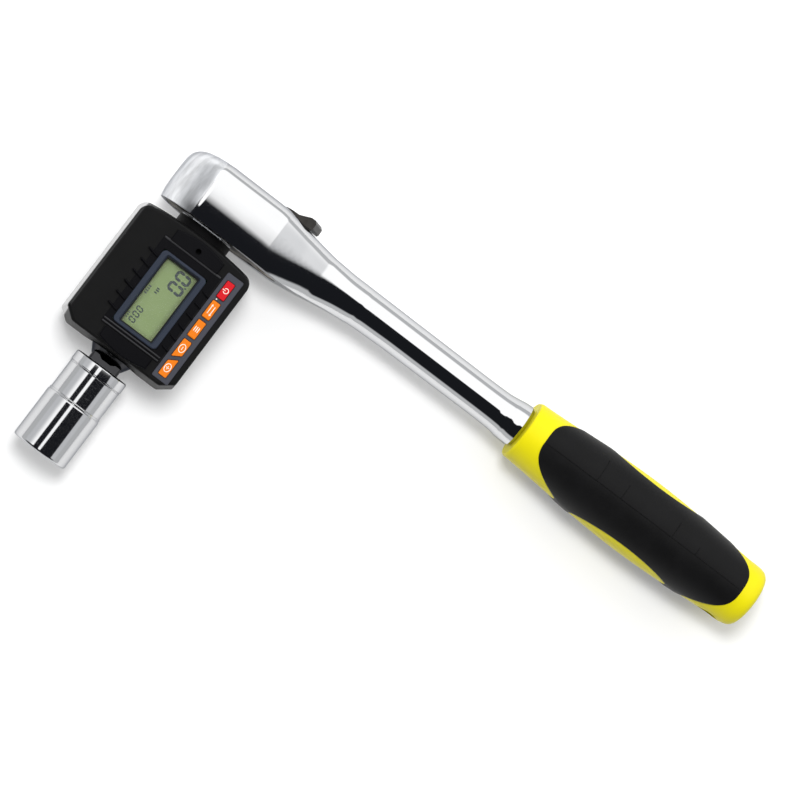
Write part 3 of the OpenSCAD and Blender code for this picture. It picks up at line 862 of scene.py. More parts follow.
@dataclass
class RatchetForging:
    """The chromed head, neck and shank, in one lofted skin."""

    plate_y: float
    head_r: float = 21.7
    side_w: float = 20.05
    roundness: float = 4.0
    grip_x: float = 137.5
    lip_r: float = 8.8
    spindle_x: float = 24.6
    width: tuple[Point2, ...] = (
        (-8.3, 20.05), (20.5, 18.0), (33, 13.1), (44, 8.95), (49, 8.35), (58, 7.95), (76, 7.75),
        (120, 7.6), (128, 7.8),
    )
    top: tuple[Point2, ...] = (
        (0, 12.0), (19, 12.0), (32, 10.0), (44, 8.4), (54, 7.85), (76, 7.75), (120, 7.6), (128, 7.8)
    )
    centre: tuple[Point2, ...] = ((0, 12.0), (31, 12.0), (45, 12.15), (60, 12.2), (140, 12.2))
    bottom: tuple[Point2, ...] = (
        (0, 19.0), (22, 18.4), (30, 15.6), (40, 12.6), (52, 9.9), (64, 8.2), (78, 7.75), (120, 7.6),
        (128, 7.8),
    )
    floor: tuple[Point2, ...] = ((0, 0.0), (31, 0.0), (40, 0.9), (52, 2.8), (62, 3.9), (140, 3.9))

    @staticmethod
    def _at(table: tuple[Point2, ...], x: float) -> float:
        """A table's value at x."""
        return float(np.interp(x, [p[0] for p in table], [p[1] for p in table]))

    def _flare(self, x: float) -> float:
        """Extra radius of the shank where it meets the grip."""
        u = min(max((x - 126.0) / 9.5, 0.0), 1.0)
        return 1.1 * u * u * (3 - 2 * u)

    def half_section(self, x: float, count: int = 54, on_floor: int = 8) -> list[Point2]:
        """Half of a section from the middle of its floor to the middle of its top.

        Args:
            x: Station along the handle.
            count: Number of points.
            on_floor: How many of them lie on the flat floor.

        Returns:
            Pairs of height above the plate's face and half width.
        """
        u = min(max((x - 18.0) / 40.0, 0.0), 1.0)
        n = self.roundness + (2.0 - self.roundness) * u * u * (3 - 2 * u)
        grow = self._flare(x)
        w, up = self._at(self.width, x) + grow, self._at(self.top, x) + grow
        down, mid = self._at(self.bottom, x) + grow, self._at(self.centre, x)
        depth = min((mid - self._at(self.floor, x)) / down, 1.0)
        edge = (1 - depth**n) ** (1 / n)
        points = [(mid - depth * down, w * edge * k / on_floor) for k in range(on_floor)]
        start = -math.asin(depth ** (n / 2))
        for t in np.linspace(start, math.pi / 2, count - on_floor):
            s, c = math.sin(t), max(math.cos(t), 0.0)
            reach = up if s > 0 else down
            points.append((mid + math.copysign(abs(s) ** (2 / n), s) * reach, w * c ** (2 / n)))
        return points

    def mesh(self) -> bpy.types.Mesh:
        """The closed skin before its bores are cut."""
        profile = self.half_section(0.0)
        scale = self._at(self.width, 0.0)
        crease = math.asin(self.side_w / self.head_r)
        columns: list[list[Point3]] = []
        for a in np.linspace(0, crease, 30):
            x, w = -self.head_r * math.cos(a), self.head_r * math.sin(a)
            columns.append([(x * z / scale, h, w * z / scale) for h, z in profile])
        start = -self.head_r * math.cos(crease)
        for x in np.linspace(start, 0, 6)[1:]:
            w = self._at(self.width, x)
            columns.append([(x * z / scale, h, w * z / scale) for h, z in profile])
        stations = [
            *np.linspace(0, 20.5, 9)[1:], *np.linspace(20.5, 45, 22)[1:], *np.linspace(45, 80, 24)[1:]
        ]
        stations += [
            *np.linspace(80, 126, 12)[1:], *np.linspace(126, 135.6, 10)[1:], 136.2, 136.6, self.grip_x
        ]
        for x in stations:
            columns.append([(x, h, z) for h, z in self.half_section(float(x))])
        lip = columns[-3:]
        mid = self._at(self.centre, self.grip_x)
        for ring, shrink in zip(lip, (0.0, 0.35, 0.9)):
            part = 1 - shrink / self.lip_r
            ring[:] = [(x, mid + (h - mid) * part, z * part) for x, h, z in ring]
        rows = len(columns)
        count = len(profile)
        right = [p for column in columns for p in column]
        left = [(x, h, -z) for x, h, z in right]
        faces = grid_faces(rows, count)
        faces += [tuple(reversed(face)) for face in grid_faces(rows, count, start=len(right))]
        last = (rows - 1) * count
        far = len(right) + last
        faces.append((*range(last, last + count), *range(far + count - 1, far - 1, -1)))
        points = [(x, self.plate_y + h, z) for x, h, z in right + left]
        return mesh_from("ratchet_skin", points, faces)

    def _pear(self, r1: float, x2: float, r2: float) -> list[Point2]:
        """Outline of two circles joined by tangents, in X and Z."""
        a = math.degrees(math.acos((r1 - r2) / x2))
        return [(x + x2, z) for x, z in arc(0, 0, r2, -a, a, 14)] + arc(0, 0, r1, a, 360 - a, 72)

    def _well(self, outline: Sequence[Point2], h0: float, h1: float) -> bpy.types.Mesh:
        """A prism along Y on an outline in X and Z."""
        rings = [[(x, self.plate_y + h, z) for x, z in outline] for h in (h0, h1)]
        return loft("well", rings)

    def build(self) -> bpy.types.Object:
        """The forging with the plate's seat, the bores and the lever's seat."""
        body = new_object("ratchet_forging", self.mesh(), Look.FORGING, 28)
        plate_seat = self._pear(18.55, 26, 5.35)
        gear_bore = circle(0, 0, 13.7, 120)
        pocket = arc(0, 0, 18, -62, -22, 8) + arc(17.4, 0, 5.6, -75, 75, 16) + arc(0, 0, 18, 22, 62, 8)
        spindle_bore = circle(self.spindle_x, 0, 3.05, 36)
        lever_seat = circle(self.spindle_x, 0, 6.95, 90)
        tools = [
            self._well(plate_seat, -1, 2),
            self._well(gear_bore, 1, 19.2),
            self._well(pocket, 1, 15),
            self._well(spindle_bore, 1, 30),
            self._well(lever_seat, 22.45, 30),
        ]
        carve(body, tools)
        tidy(body.data, 0.004)
        soften(body, 0.22, 38, 2)
        return settle(body, "handle", "chrome_forging", "ratchet_body")


@dataclass
class Grip:
    """The two-part grip: a yellow core with a black pad on its front and back."""

    x0: float
    axis_y: float
    length: float = 107.8
    flat: float = 2.0
    line: tuple[Point2, ...] = (
        (0, 11.3), (0.25, 11.65), (0.7, 11.9), (10, 12.4), (20, 13.1), (32, 14.1), (44, 14.7),
        (54, 14.9), (64, 14.75),
        (76, 14.2), (88, 13.3), (97, 12.75), (104, 12.6), (106, 12.1), (107.2, 11.1), (107.8, 9.6),
    )
    pad_half: float = 46.2
    pad_centre: float = 54.1
    pad_proud: float = 0.35
    hole_r: float = 4.3
    hole_from_end: float = 9.6
    seam_half: float = 0.17
    seam_depth: float = 0.27
    dip_r: float = 147.8

    def radius(self, s: float) -> float:
        """Half width at a distance from the front end, smoothed between stations."""
        x = np.array([p[0] for p in self.line])
        y = np.array([p[1] for p in self.line])
        if s < 1 or s > 103:
            return float(np.interp(s, x, y))
        spread = np.linspace(-4.0, 4.0, 9)
        near = np.clip(s + spread, 1.0, 103.5)
        return float(np.mean(np.interp(near, x, y)))

    def solid(
        self, name: str, grow: float, s0: float = 0.0, s1: float = 107.8, turn: int = 96
    ) -> bpy.types.Mesh:
        """The grip's rounded bar grown by an amount, between two stations."""
        stations = [s for s in (0, 0.12, 0.3, 0.6, 1.0) if s0 <= s <= s1]
        stations += [float(s) for s in np.linspace(max(s0, 1.6), min(s1, 103.0), 74)]
        stations += [
            s for s in (104, 105, 105.8, 106.4, 106.9, 107.3, 107.6, 107.8) if s <= s1 and s1 > 103
        ]
        rings = []
        for s in stations:
            r = self.radius(s) + grow
            ring = []
            for k in range(turn):
                a = 2 * math.pi * (k + 0.5) / turn
                z = r * math.cos(a)
                ring.append(
                    (self.x0 + s, self.axis_y + r * math.sin(a), z + math.copysign(self.flat, z))
                )
            rings.append(ring)
        return loft(name, rings)

    def plan(self) -> list[Point2]:
        """Outline of the pad in X and Y: an oval whose long sides dip."""
        points = []
        for a in np.radians(np.linspace(0, 360, 181)[:-1]):
            x = -self.pad_half * math.cos(a)
            if math.sin(a) >= 0:
                power, dip, centre = 0.5, 160.6, -1.8
            else:
                power, dip, centre = 0.8 if x < 0 else 0.62, 160.2, 2.0
            limit = dip - math.sqrt(self.dip_r**2 - (x - centre) ** 2)
            y = math.copysign(min(16.5 * abs(math.sin(a)) ** power, limit), math.sin(a))
            points.append((self.x0 + self.pad_centre + x, self.axis_y + y))
        return points

    def hole(self) -> bpy.types.Mesh:
        """A bar along Y through the hanging hole."""
        cx = self.x0 + self.length - self.hole_from_end
        rings = [
            [(x, self.axis_y + y, z) for x, z in circle(cx, 0, self.hole_r, 60)] for y in (-24, 24)
        ]
        return loft("hole", rings)

    def seams(self) -> list[bpy.types.Mesh]:
        """Thin slabs that draw the pad's moulding seams."""
        lines = [
            (8.6, 0.0, 99.0, 0.4), (31.5, 0.0, 31.7, 9.3), (42.6, 0.1, 42.8, 6.4),
            (66.4, 0.2, 66.6, 6.8), (77.6, 0.3, 77.7, 3.6),
        ]
        made = []
        for x0, y0, x1, y1 in lines:
            dx, dy = x1 - x0, y1 - y0
            n = math.hypot(dx, dy)
            ox, oy = -dy / n * self.seam_half, dx / n * self.seam_half
            outline = [(x0 + ox, y0 + oy), (x0 - ox, y0 - oy), (x1 - ox, y1 - oy), (x1 + ox, y1 + oy)]
            made.append(prism("seam", [(self.x0 + x, self.axis_y + y) for x, y in outline], 0.5, 30))
        return made

    def grooves(self) -> list[bpy.types.Mesh]:
        """What the seams take out of the pad's skin."""
        shell = new_object("seam_shell", self.solid("seam_shell", 1.0, 2, 104), Look.RUBBER)
        carve(shell, [self.solid("seam_core", self.pad_proud - self.seam_depth, 1.8, 104.5)])
        made = []
        for slab in self.seams():
            groove = new_object("groove", slab, Look.RUBBER)
            carve(groove, [shell.data.copy()], "INTERSECT")
            made.append(groove.data.copy())
            bpy.data.objects.remove(groove)
        bpy.data.objects.remove(shell)
        return made

    def build(self) -> list[bpy.types.Object]:
        """The core and the pad."""
        core = new_object("grip_sleeve", self.solid("grip_sleeve", 0.0), Look.YELLOW, 40)
        carve(core, [self.hole()])
        soften(core, 0.35, 50, 3)
        skin = self.solid("grip_pad_shell", self.pad_proud, 4, 103)
        pad = new_object("grip_pad_shell", skin, Look.RUBBER, 40)
        carve(pad, [prism("plan", self.plan(), -30, 30)], "INTERSECT")
        carve(pad, [self.solid("pad_core", -0.9, 2.5, 104.5), self.hole(), *self.grooves()])
        soften(pad, 0.22, 45, 2)
        return [
            settle(core, "handle", "grip_yellow", "grip_core"),
            settle(pad, "handle", "grip_rubber", "grip_pad"),
        ]


# --------------------------------------------------------------------------- the adapter


@dataclass
class Casing:
    """The adapter's two-part casing, its raised bridge, recesses and ribs."""

    face_y: float
    half_w: float = 25.2
    front: float = 19.6
    back: float = 20.05
    gap: float = 3.0
    length: float = 55.0
    wall: float = 2.0
    bridge: tuple[float, float] = (-8.2, 12.4)
    rib_pitch: float = 4.83
    corner: float = 4.2
    draft: tuple[float, float, float, float] = (1.5, 0.5, 1.5, 1.6)
    rear_draft: tuple[float, float, float, float] = (0.8, 0.5, 0.6, 0.8)
    vent: Point2 = (2.3, -9.4)
    collar_r: float = 11.4
    bush_r: float = 11.6

    def plan(self, share: float = 0.0, inset: float = 0.0) -> list[Point2]:
        """The casing's outline in X and Y.

        Args:
            share: How much of the walls' slope is used up, from 0 to 1.
            inset: Further distance inwards on every side.

        Returns:
            Corners in order.
        """
        left, right, near, far = (d * share + inset for d in self.draft)
        x0, x1 = left - self.half_w, self.half_w - right
        top, end, r = -self.gap - near, -self.gap - self.length + far, self.corner
        points = [(x1, end + 4.3), (x1, top - 1.5 - r)]
        points += arc(x1 - r, top - 1.5 - r, r, 6, 84, 8)
        points += bowed(x1 - r, top - 1.4, x0 + r, top - 1.4, -1.38, 18)[1:-1]
        points += arc(x0 + r, top - 1.5 - r, r, 96, 174, 8)
        points += [
            (x0, top - 1.5 - r), (x0, end + 4.3), (x0 + 0.25, end + 3.5), (x0 + 4.6, end + 0.2),
            (x0 + 5.4, end),
        ]
        points += [(x1 - 5.4, end), (x1 - 4.6, end + 0.2), (x1 - 0.25, end + 3.5)]
        return [(x, self.face_y + y) for x, y in points]

    def half(self, name: str, height: float, side: int, edge: float) -> bpy.types.Object:
        """One half of the casing as a solid with sloping walls and a rounded rim."""
        levels = [(0.0, 0.0, 0.3), (0.3, 0.0, 0.0), (0.8, 0.0, 0.0), (height - edge, 1.0, 0.0)]
        for k in range(1, 6):
            a = math.pi / 2 * k / 5
            levels.append((height - edge + edge * math.sin(a), 1.0, edge * (1 - math.cos(a))))
        rings = [[(x, y, side * z) for x, y in self.plan(share, inset)] for z, share, inset in levels]
        return new_object(name, loft(name, rings), Look.CASING, 32)

    def shell(self, name: str, height: float, side: int, edge: float) -> bpy.types.Object:
        """A hollowed half, open where the shaft goes through.

        Args:
            name: The piece's name.
            height: How far it stands out from the parting plane.
            side: 1 for the front, -1 for the back.
            edge: Radius of its outer rim.

        Returns:
            The shell.
        """
        made = self.half(name, height, side, edge)
        wall = self.wall
        inner = replace(
            self, half_w=self.half_w - wall, gap=self.gap + wall, length=self.length - 2 * wall
        )
        core = inner.half("core", height - wall, side, 1.0)
        core.data.transform(Matrix.Translation((0, 0, -side * 0.01 * MM)))
        carve(made, [core.data.copy(), *self._openings()])
        bpy.data.objects.remove(core)
        return made

    def _box(
        self, x0: float, y0: float, x1: float, y1: float, z0: float, z1: float, r: float = 0.0
    ) -> bpy.types.Mesh:
        """A box counted from the cover plate's face in Y."""
        return prism("box", box_outline(x0, self.face_y + y0, x1, self.face_y + y1, r), z0, z1)

    def _openings(self) -> list[bpy.types.Mesh]:
        """Where the collar and the bush leave the casing, on the drive axis."""
        made = []
        for y0, y1, r in ((-6, 0, self.collar_r), (-60, -50.6, self.bush_r)):
            ring = circle(0, 0, r, 72)
            made.append(loft("bore", [[(x, self.face_y + y, z) for x, z in ring] for y in (y0, y1)]))
        return made

    def saddle(self) -> bpy.types.Object:
        """The raised bridge from end to end, with its steps and end curves."""
        x0, x1 = self.bridge
        top = bowed(x1 + 0.1, -7.4, x0 - 0.1, -7.4, -1.7, 16)
        low = bowed(x0 - 0.1, -54.6, x1 + 0.1, -54.6, -1.6, 16)
        outline = [(x, self.face_y + y) for x, y in top + low]
        made = slab("casing_bridge", outline, (15.0, self.front + 1.2), Look.SADDLE, 0.55, 32)
        return carve(made, [self._box(x0 - 2.4, -50.4, x1 + 1.9, -11.8, self.front - 0.05, 30)])

    def tray(self) -> bpy.types.Object:
        """The sunk field around the bezel."""
        x0, x1 = self.bridge
        outline = box_outline(x0 - 2.6, self.face_y - 50.2, x1 + 2.2, self.face_y - 11.4, 0.5)
        return slab("casing_field", outline, (16, self.front + 0.12), Look.SADDLE, 0.1, 32)

    def lines(self) -> bpy.types.Object:
        """The raised lines at the ends of the sunk field."""
        x0, x1 = self.bridge
        parts = []
        for y, rise, w in ((-48.2, 1.1, 0.3), (-49.5, 0.95, 0.3), (-12.1, 0.4, 0.4)):
            outline = box_outline(x0 - 2.4, self.face_y + y - w, x1 + 2.0, self.face_y + y + w, 0.28)
            # The lines take the lighter black, a painted highlight along their tops.
            parts.append(slab("line", outline, (16, self.front + rise), Look.RIDGE, 0.26))
        return join("casing_lines", parts)

    def ribs(self, side: int) -> bpy.types.Object:
        """Six slanted ribs beside the display."""
        x0, x1 = (-13.0, -8.4) if side < 0 else (12.0, 15.1)
        lean, start = (0.9, -19.6) if side < 0 else (0.6, -20.4)
        outline = [
            (x0, lean), (x0 + 0.4, lean + 0.44), (x1, 0.46), (x1, -0.46), (x0 + 0.4, lean - 0.44)
        ]
        first = [(x, self.face_y + start + y) for x, y in outline]
        name = "casing_ribs_left" if side < 0 else "casing_ribs_right"
        made = slab(name, first, (self.front - 0.6, self.front + 1.0), Look.SADDLE, 0.36, 40)
        return repeat(made, 6, (0, -self.rib_pitch, 0), Look.SADDLE)

    def build(self) -> list[bpy.types.Object]:
        """Front, back and the furniture on them."""
        front = self.shell("casing_front", self.front, 1, 0.9)
        rear = replace(self, draft=self.rear_draft).shell("casing_rear", self.back, -1, 1.6)
        vent = circle(self.vent[0], self.face_y + self.vent[1], 1.1, 24)
        seat = prism("seat", node_outline("keypad_bezel", grow=0.05), self.front - 1.15, 30)
        carve(front, [self._box(-9, -47, 11.6, -15, 15, 30), seat])
        carve(rear, [self._box(-22.3, -54.6, 22.3, -10.4, -30, -17.9, 1.2)])
        for shell in (front, rear):
            carve(shell, [self._notch(side) for side in (-1, 1)])
        bridge = self.saddle()
        drill = prism("hole", vent, 10, 30)
        carve(bridge, [self._box(-8.1, -47.4, 11.3, -15.6, 10, 30), *self._openings(), drill])
        sunk = self.tray()
        carve(sunk, [self._box(-8.05, -47.35, 11.25, -15.65, 10, 30)])
        carve(front, [prism("hole", vent, 10, 30)])
        soften(front, 0.18, 35, 2)
        soften(rear, 0.18, 35, 2)
        made = [
            settle(front, "adapter", "casing_black", "front_shell"),
            settle(rear, "adapter", "casing_black", "rear_shell"),
        ]
        trim = [bridge, sunk, self.lines(), self.ribs(-1), self.ribs(1)]
        return made + [settle(piece, "adapter", "casing_black") for piece in trim]

    def _notch(self, side: int) -> bpy.types.Mesh:
        """A small notch across the parting line, in the middle of a side."""
        x = side * self.half_w
        return self._box(x - 0.8, -31.2, x + 0.8, -29.6, -1.6, 1.6)


@dataclass
class Display:
    """The display: cell, segments, clear window and the slate bezel around them."""

    face_y: float
    x: float = 1.6
    y: float = -31.5
    bezel: Point2 = (19.2, 31.6)
    view: Point2 = (14.2, 28.8)
    segment_z: float = 17.02
    bar_pitch: float = 0.95

    def frame_ring(self) -> bpy.types.Object:
        """The bezel with rounded corners and a sloping inner edge."""
        w, h = self.bezel[0] / 2, self.bezel[1] / 2
        vw, vh = self.view[0] / 2, self.view[1] / 2
        cx, cy = self.x, self.face_y + self.y
        outer = box_outline(cx - w, cy - h, cx + w, cy + h, 1.7, 8)
        made = slab("display_bezel", outer, (18.4, 20.6), Look.BEZEL, 0.4, 32)
        view = box_outline(cx - vw, cy - vh, cx + vw, cy + vh, 0.5, 4)
        wide = inset_outline(view, -0.55)
        levels = ((view, 18.0), (view, 19.9), (wide, 20.65), (wide, 22))
        return carve(made, [loft("funnel", [[(x, y, z) for x, y in ring] for ring, z in levels])])

    def liner(self) -> bpy.types.Object:
        """The thin black frame inside the bezel."""
        vw, vh = self.view[0] / 2, self.view[1] / 2
        cx, cy = self.x, self.face_y + self.y
        outer = box_outline(cx - vw + 0.01, cy - vh + 0.01, cx + vw - 0.01, cy + vh - 0.01, 0.5, 4)
        made = slab("display_liner", outer, (17.9, 19.75), Look.GAP, smooth=32)
        inner = box_outline(cx - vw + 0.4, cy - vh + 0.45, cx + vw - 0.5, cy + vh - 0.45, 0.3, 4)
        return carve(made, [prism("hole", inner, 10, 30)])

    def cell(self) -> bpy.types.Object:
        """The green backing."""
        finish = DisplayCell(
            "display_green", centre=(self.x - 0.1, self.face_y + self.y), half=(6.3, 13.6)
        )
        return self._sheet("display_cell", "lcd_cell", node_outline("lcd_cell", 0.3, 3), 0.1, finish)

    def window(self) -> bpy.types.Object:
        """The clear window over the cell."""
        finish = ClearWindow("window_clear")
        return self._sheet(
            "display_window", "lcd_window", node_outline("lcd_window", 0.6, 4), 0.15, finish
        )

    @staticmethod
    def _sheet(
        name: str, node: str, outline: list[Point2], edge: float, finish: Finish
    ) -> bpy.types.Object:
        """A flat sheet in the place of a CAD node.

        Args:
            name: The piece's name.
            node: The CAD node that gives its two heights.
            outline: Its outline in X and Y.
            edge: Radius of its upper rim.
            finish: Its finish.

        Returns:
            The sheet.
        """
        made = slab(name, outline, span(node, 2), Look.GAP, edge, 40)
        made.data.materials[0] = finish.material()
        return made

    def digit(
        self, lit: str, at: Point2, width: float, height: float, stroke: float, lean: float = 0.0
    ) -> list[list[Point2]]:
        """Outlines of a seven-segment figure that reads along +Y with its top towards -X.

        Args:
            lit: Which of the segments a to g are lit.
            at: Lower left corner as read, in X and Y.
            width: Width as read.
            height: Height as read.
            stroke: Width of a segment.
            lean: Slant as read.

        Returns:
            One outline for each lit segment.
        """
        gap, tip, t, h = stroke * 0.05, stroke * 0.42, stroke, height
        level = {"a": h - t / 2, "g": h / 2, "d": t / 2}
        shapes = []
        for name in lit:
            if name in level:
                v = level[name]
                a, b = tip + gap, width - tip - gap
                upper, lower = v + t / 2, v - t / 2
                shape = [
                    (a, v), (a + t / 2, upper), (b - t / 2, upper), (b, v), (b - t / 2, lower),
                    (a + t / 2, lower),
                ]
            else:
                u = t / 2 if name in "fe" else width - t / 2
                a, b = (h / 2 + gap, h - tip - gap) if name in "fb" else (tip + gap, h / 2 - gap)
                right, left = u + t / 2, u - t / 2
                shape = [
                    (u, a), (right, a + t / 2), (right, b - t / 2), (u, b), (left, b - t / 2),
                    (left, a + t / 2),
                ]
            shapes.append([(at[0] - v, self.face_y + at[1] + u + lean * v) for u, v in shape])
        return shapes

    def segments(self) -> bpy.types.Object:
        """The lit segments: a large reading, three small figures and plain marks."""
        zero = "abcdef"
        shapes = []
        for y in (-26.9, -22.4):
            shapes += self.digit(zero, (7.0, y), 3.8, 6.4, 1.05, 0.05)
        shapes.append([(x, self.face_y + y) for x, y in circle(6.6, -22.75, 0.4, 8)])
        for y in (-44.0, -41.7, -39.4):
            shapes += self.digit(zero, (-0.6, y), 1.75, 2.9, 0.5, 0.08)
        for x, y, w, h in (
            (-1.4, -30.2, 0.9, 0.28), (-1.4, -29.3, 1.1, 0.24), (-1.4, -28.5, 0.8, 0.28)
        ):
            shapes.append(box_outline(x - h, self.face_y + y - 0.3, x + w, self.face_y + y + 0.22))
        for count, x0, x1, y in ((4, -4.6, -3.5, -32.6), (3, -4.7, -4.05, -43.6)):
            for k in range(count):
                shift = k * self.bar_pitch
                shapes.append(
                    box_outline(x0, self.face_y + y + shift, x1, self.face_y + y + 0.5 + shift)
                )
        return join(
            "display_segments",
            [slab("segment", shape, (16.9, self.segment_z), Look.SEGMENT) for shape in shapes],
        )

    def build(self) -> list[bpy.types.Object]:
        """All of the display."""
        return [
            settle(self.frame_ring(), "adapter", "bezel_slate", "lcd_bezel"),
            settle(self.liner(), "adapter", "casing_black"),
            settle(self.cell(), "adapter", "lcd_green", "lcd_cell"),
            settle(self.window(), "adapter", "window_clear", "lcd_window"),
            settle(self.segments(), "adapter", "chip_black"),
        ]


class Sign(Enum):
    """Generic marks on the keys."""

    POWER = "power"
    UNIT = "unit"
    MODE = "mode"
    MINUS = "minus"
    PLUS = "plus"


@dataclass
class Keypad:
    """The key panel, its five caps with raised marks and the pilot lamp."""

    face_y: float
    top: float = 20.3
    x: float = 18.55
    half_w: float = 1.65
    lamp: Point2 = (17.7, -19.0)
    ys: tuple[float, ...] = (-14.7, -23.4, -32.0, -40.6, -49.3)
    names: tuple[str, ...] = ("power_key", "unit_key", "mode_key", "minus_key", "plus_key")

    def outline(self, index: int, grow: float = 0.0) -> list[Point2]:
        """A cap's outline, in place; the last two caps have one slanted end."""
        w = self.half_w
        if index < 3:
            points = box_outline(-w, -3.6, w, 3.6)
        else:
            points = [(-w, -4.4), (w, -2.4), (w, 3.5), (-w, 3.5)]
            points = points if index == 3 else [(-x, -y) for x, y in points]
        rounded = self._round(points, 0.45)
        placed = [(x + self.x, y + self.ys[index] + self.face_y) for x, y in rounded]
        return inset_outline(placed, -grow) if grow else placed

    @staticmethod
    def _round(points: Sequence[Point2], radius: float) -> list[Point2]:
        """A polygon with its corners cut round."""
        made: list[Point2] = []
        count = len(points)
        for k in range(count):
            p, q, r = (np.array(points[(k + d) % count]) for d in (-1, 0, 1))
            a, b = p - q, r - q
            a, b = a / np.linalg.norm(a), b / np.linalg.norm(b)
            start, end = q + a * radius, q + b * radius
            for t in np.linspace(0, 1, 5):
                made.append(tuple((1 - t) ** 2 * start + 2 * t * (1 - t) * q + t * t * end))
        return made

    def panel(self) -> bpy.types.Object:
        """The grey panel with a slot for each cap and a groove round it."""
        outline = node_outline("keypad_bezel", 0.5, 4)
        made = slab("key_panel", outline, span("keypad_bezel", 2), Look.PANEL, 0.2, 32)
        carve(made, [prism("slot", self.outline(i, 0.17), 10, 30) for i in range(5)])
        return soften(carve(made, [prism("lamp", self._dot(0.32), 19.0, 30)]), 0.1, 40, 2)

    def _dot(self, radius: float) -> list[Point2]:
        """A circle where the pilot lamp is."""
        return circle(self.lamp[0], self.face_y + self.lamp[1], radius, 12)

    @staticmethod
    def stroke(a: Point2, b: Point2, w: float = 0.26) -> list[Point2]:
        """A bar from one point to another."""
        d = np.array(b) - np.array(a)
        d = d / np.linalg.norm(d)
        n = np.array([-d[1], d[0]]) * w / 2
        return [tuple(corner) for corner in (a + n, a - n, b - n, b + n)]

    @staticmethod
    def loop(
        cx: float, cy: float, rx: float, ry: float, a0: float, a1: float, w: float = 0.26
    ) -> list[Point2]:
        """A curved bar on an ellipse; a full turn leaves a hairline gap."""
        angles = np.radians(np.linspace(a0, a1, 25))
        outer = [(cx + (rx + w / 2) * math.cos(a), cy + (ry + w / 2) * math.sin(a)) for a in angles]
        inner = [
            (cx + (rx - w / 2) * math.cos(a), cy + (ry - w / 2) * math.sin(a)) for a in reversed(angles)
        ]
        return outer + inner

    def mark(self, sign: Sign) -> list[list[Point2]]:
        """A key's mark around the cap's centre, read along +Y with its top towards -X."""
        if sign is Sign.POWER:
            return [self.loop(0.1, 0, 0.95, 0.95, 215, 505), self.stroke((-1.25, 0), (-0.1, 0))]
        if sign is Sign.UNIT:
            tip = [(-1.1, 1.5), (-0.55, 2.2), (-0.1, 1.5)]
            back = [(-x, -y) for x, y in tip]
            return [
                self.stroke((-0.6, -1.7), (-0.6, 1.6)), self.stroke((0.6, -1.6), (0.6, 1.7)), tip, back
            ]
        if sign is Sign.MODE:
            return [self.stroke((x, -1.0), (x, 1.0), 0.3) for x in (-0.75, 0, 0.75)]
        ring = [self.loop(0, 0, 1.15, 1.6, 0, 359.5), self.stroke((0, -0.65), (0, 0.65))]
        return ring + ([self.stroke((-0.65, 0), (0.65, 0))] if sign is Sign.PLUS else [])

    def cap(self, index: int) -> list[bpy.types.Object]:
        """A cap with its collar and stem, and the mark on it."""
        name, look = self.names[index], Look.RED if index == 0 else Look.ORANGE
        cy = self.face_y + self.ys[index]
        edge, far = (0.35, 4.0) if index < 3 else (0.14, 3.6)
        cap = slab(name + "_cap", self.outline(index), (16.9, self.top - 0.04), look, edge, 32)
        collar = box_outline(self.x - 1.95, cy - 4, self.x + 2.45, cy + far)
        flange = slab("flange", collar, (16.9, 17.9), look)
        stem = slab("stem", circle(self.x, cy, 1.2, 24), (15.7, 17.0), look)
        whole = join(name + "_cap", [cap, flange, stem])
        marks = []
        for shape in self.mark(list(Sign)[index]):
            place = [(x + self.x, y + cy) for x, y in shape]
            marks.append(slab("mark", place, (self.top - 0.2, self.top), Look.LEGEND))
        legend = join(name + "_mark", marks)
        slot = "key_red" if index == 0 else "key_orange"
        return [settle(whole, name, slot, name), settle(legend, name, "keypad_grey")]

    def build(self) -> list[bpy.types.Object]:
        """The panel and every cap."""
        lamp = slab("pilot_lamp", self._dot(0.3), (18.9, 19.85), Look.LEGEND, 0.12)
        made = [
            settle(self.panel(), "adapter", "keypad_grey", "keypad_bezel"),
            settle(lamp, "adapter", "keypad_grey"),
        ]
        for index in range(5):
            made += self.cap(index)
        return made


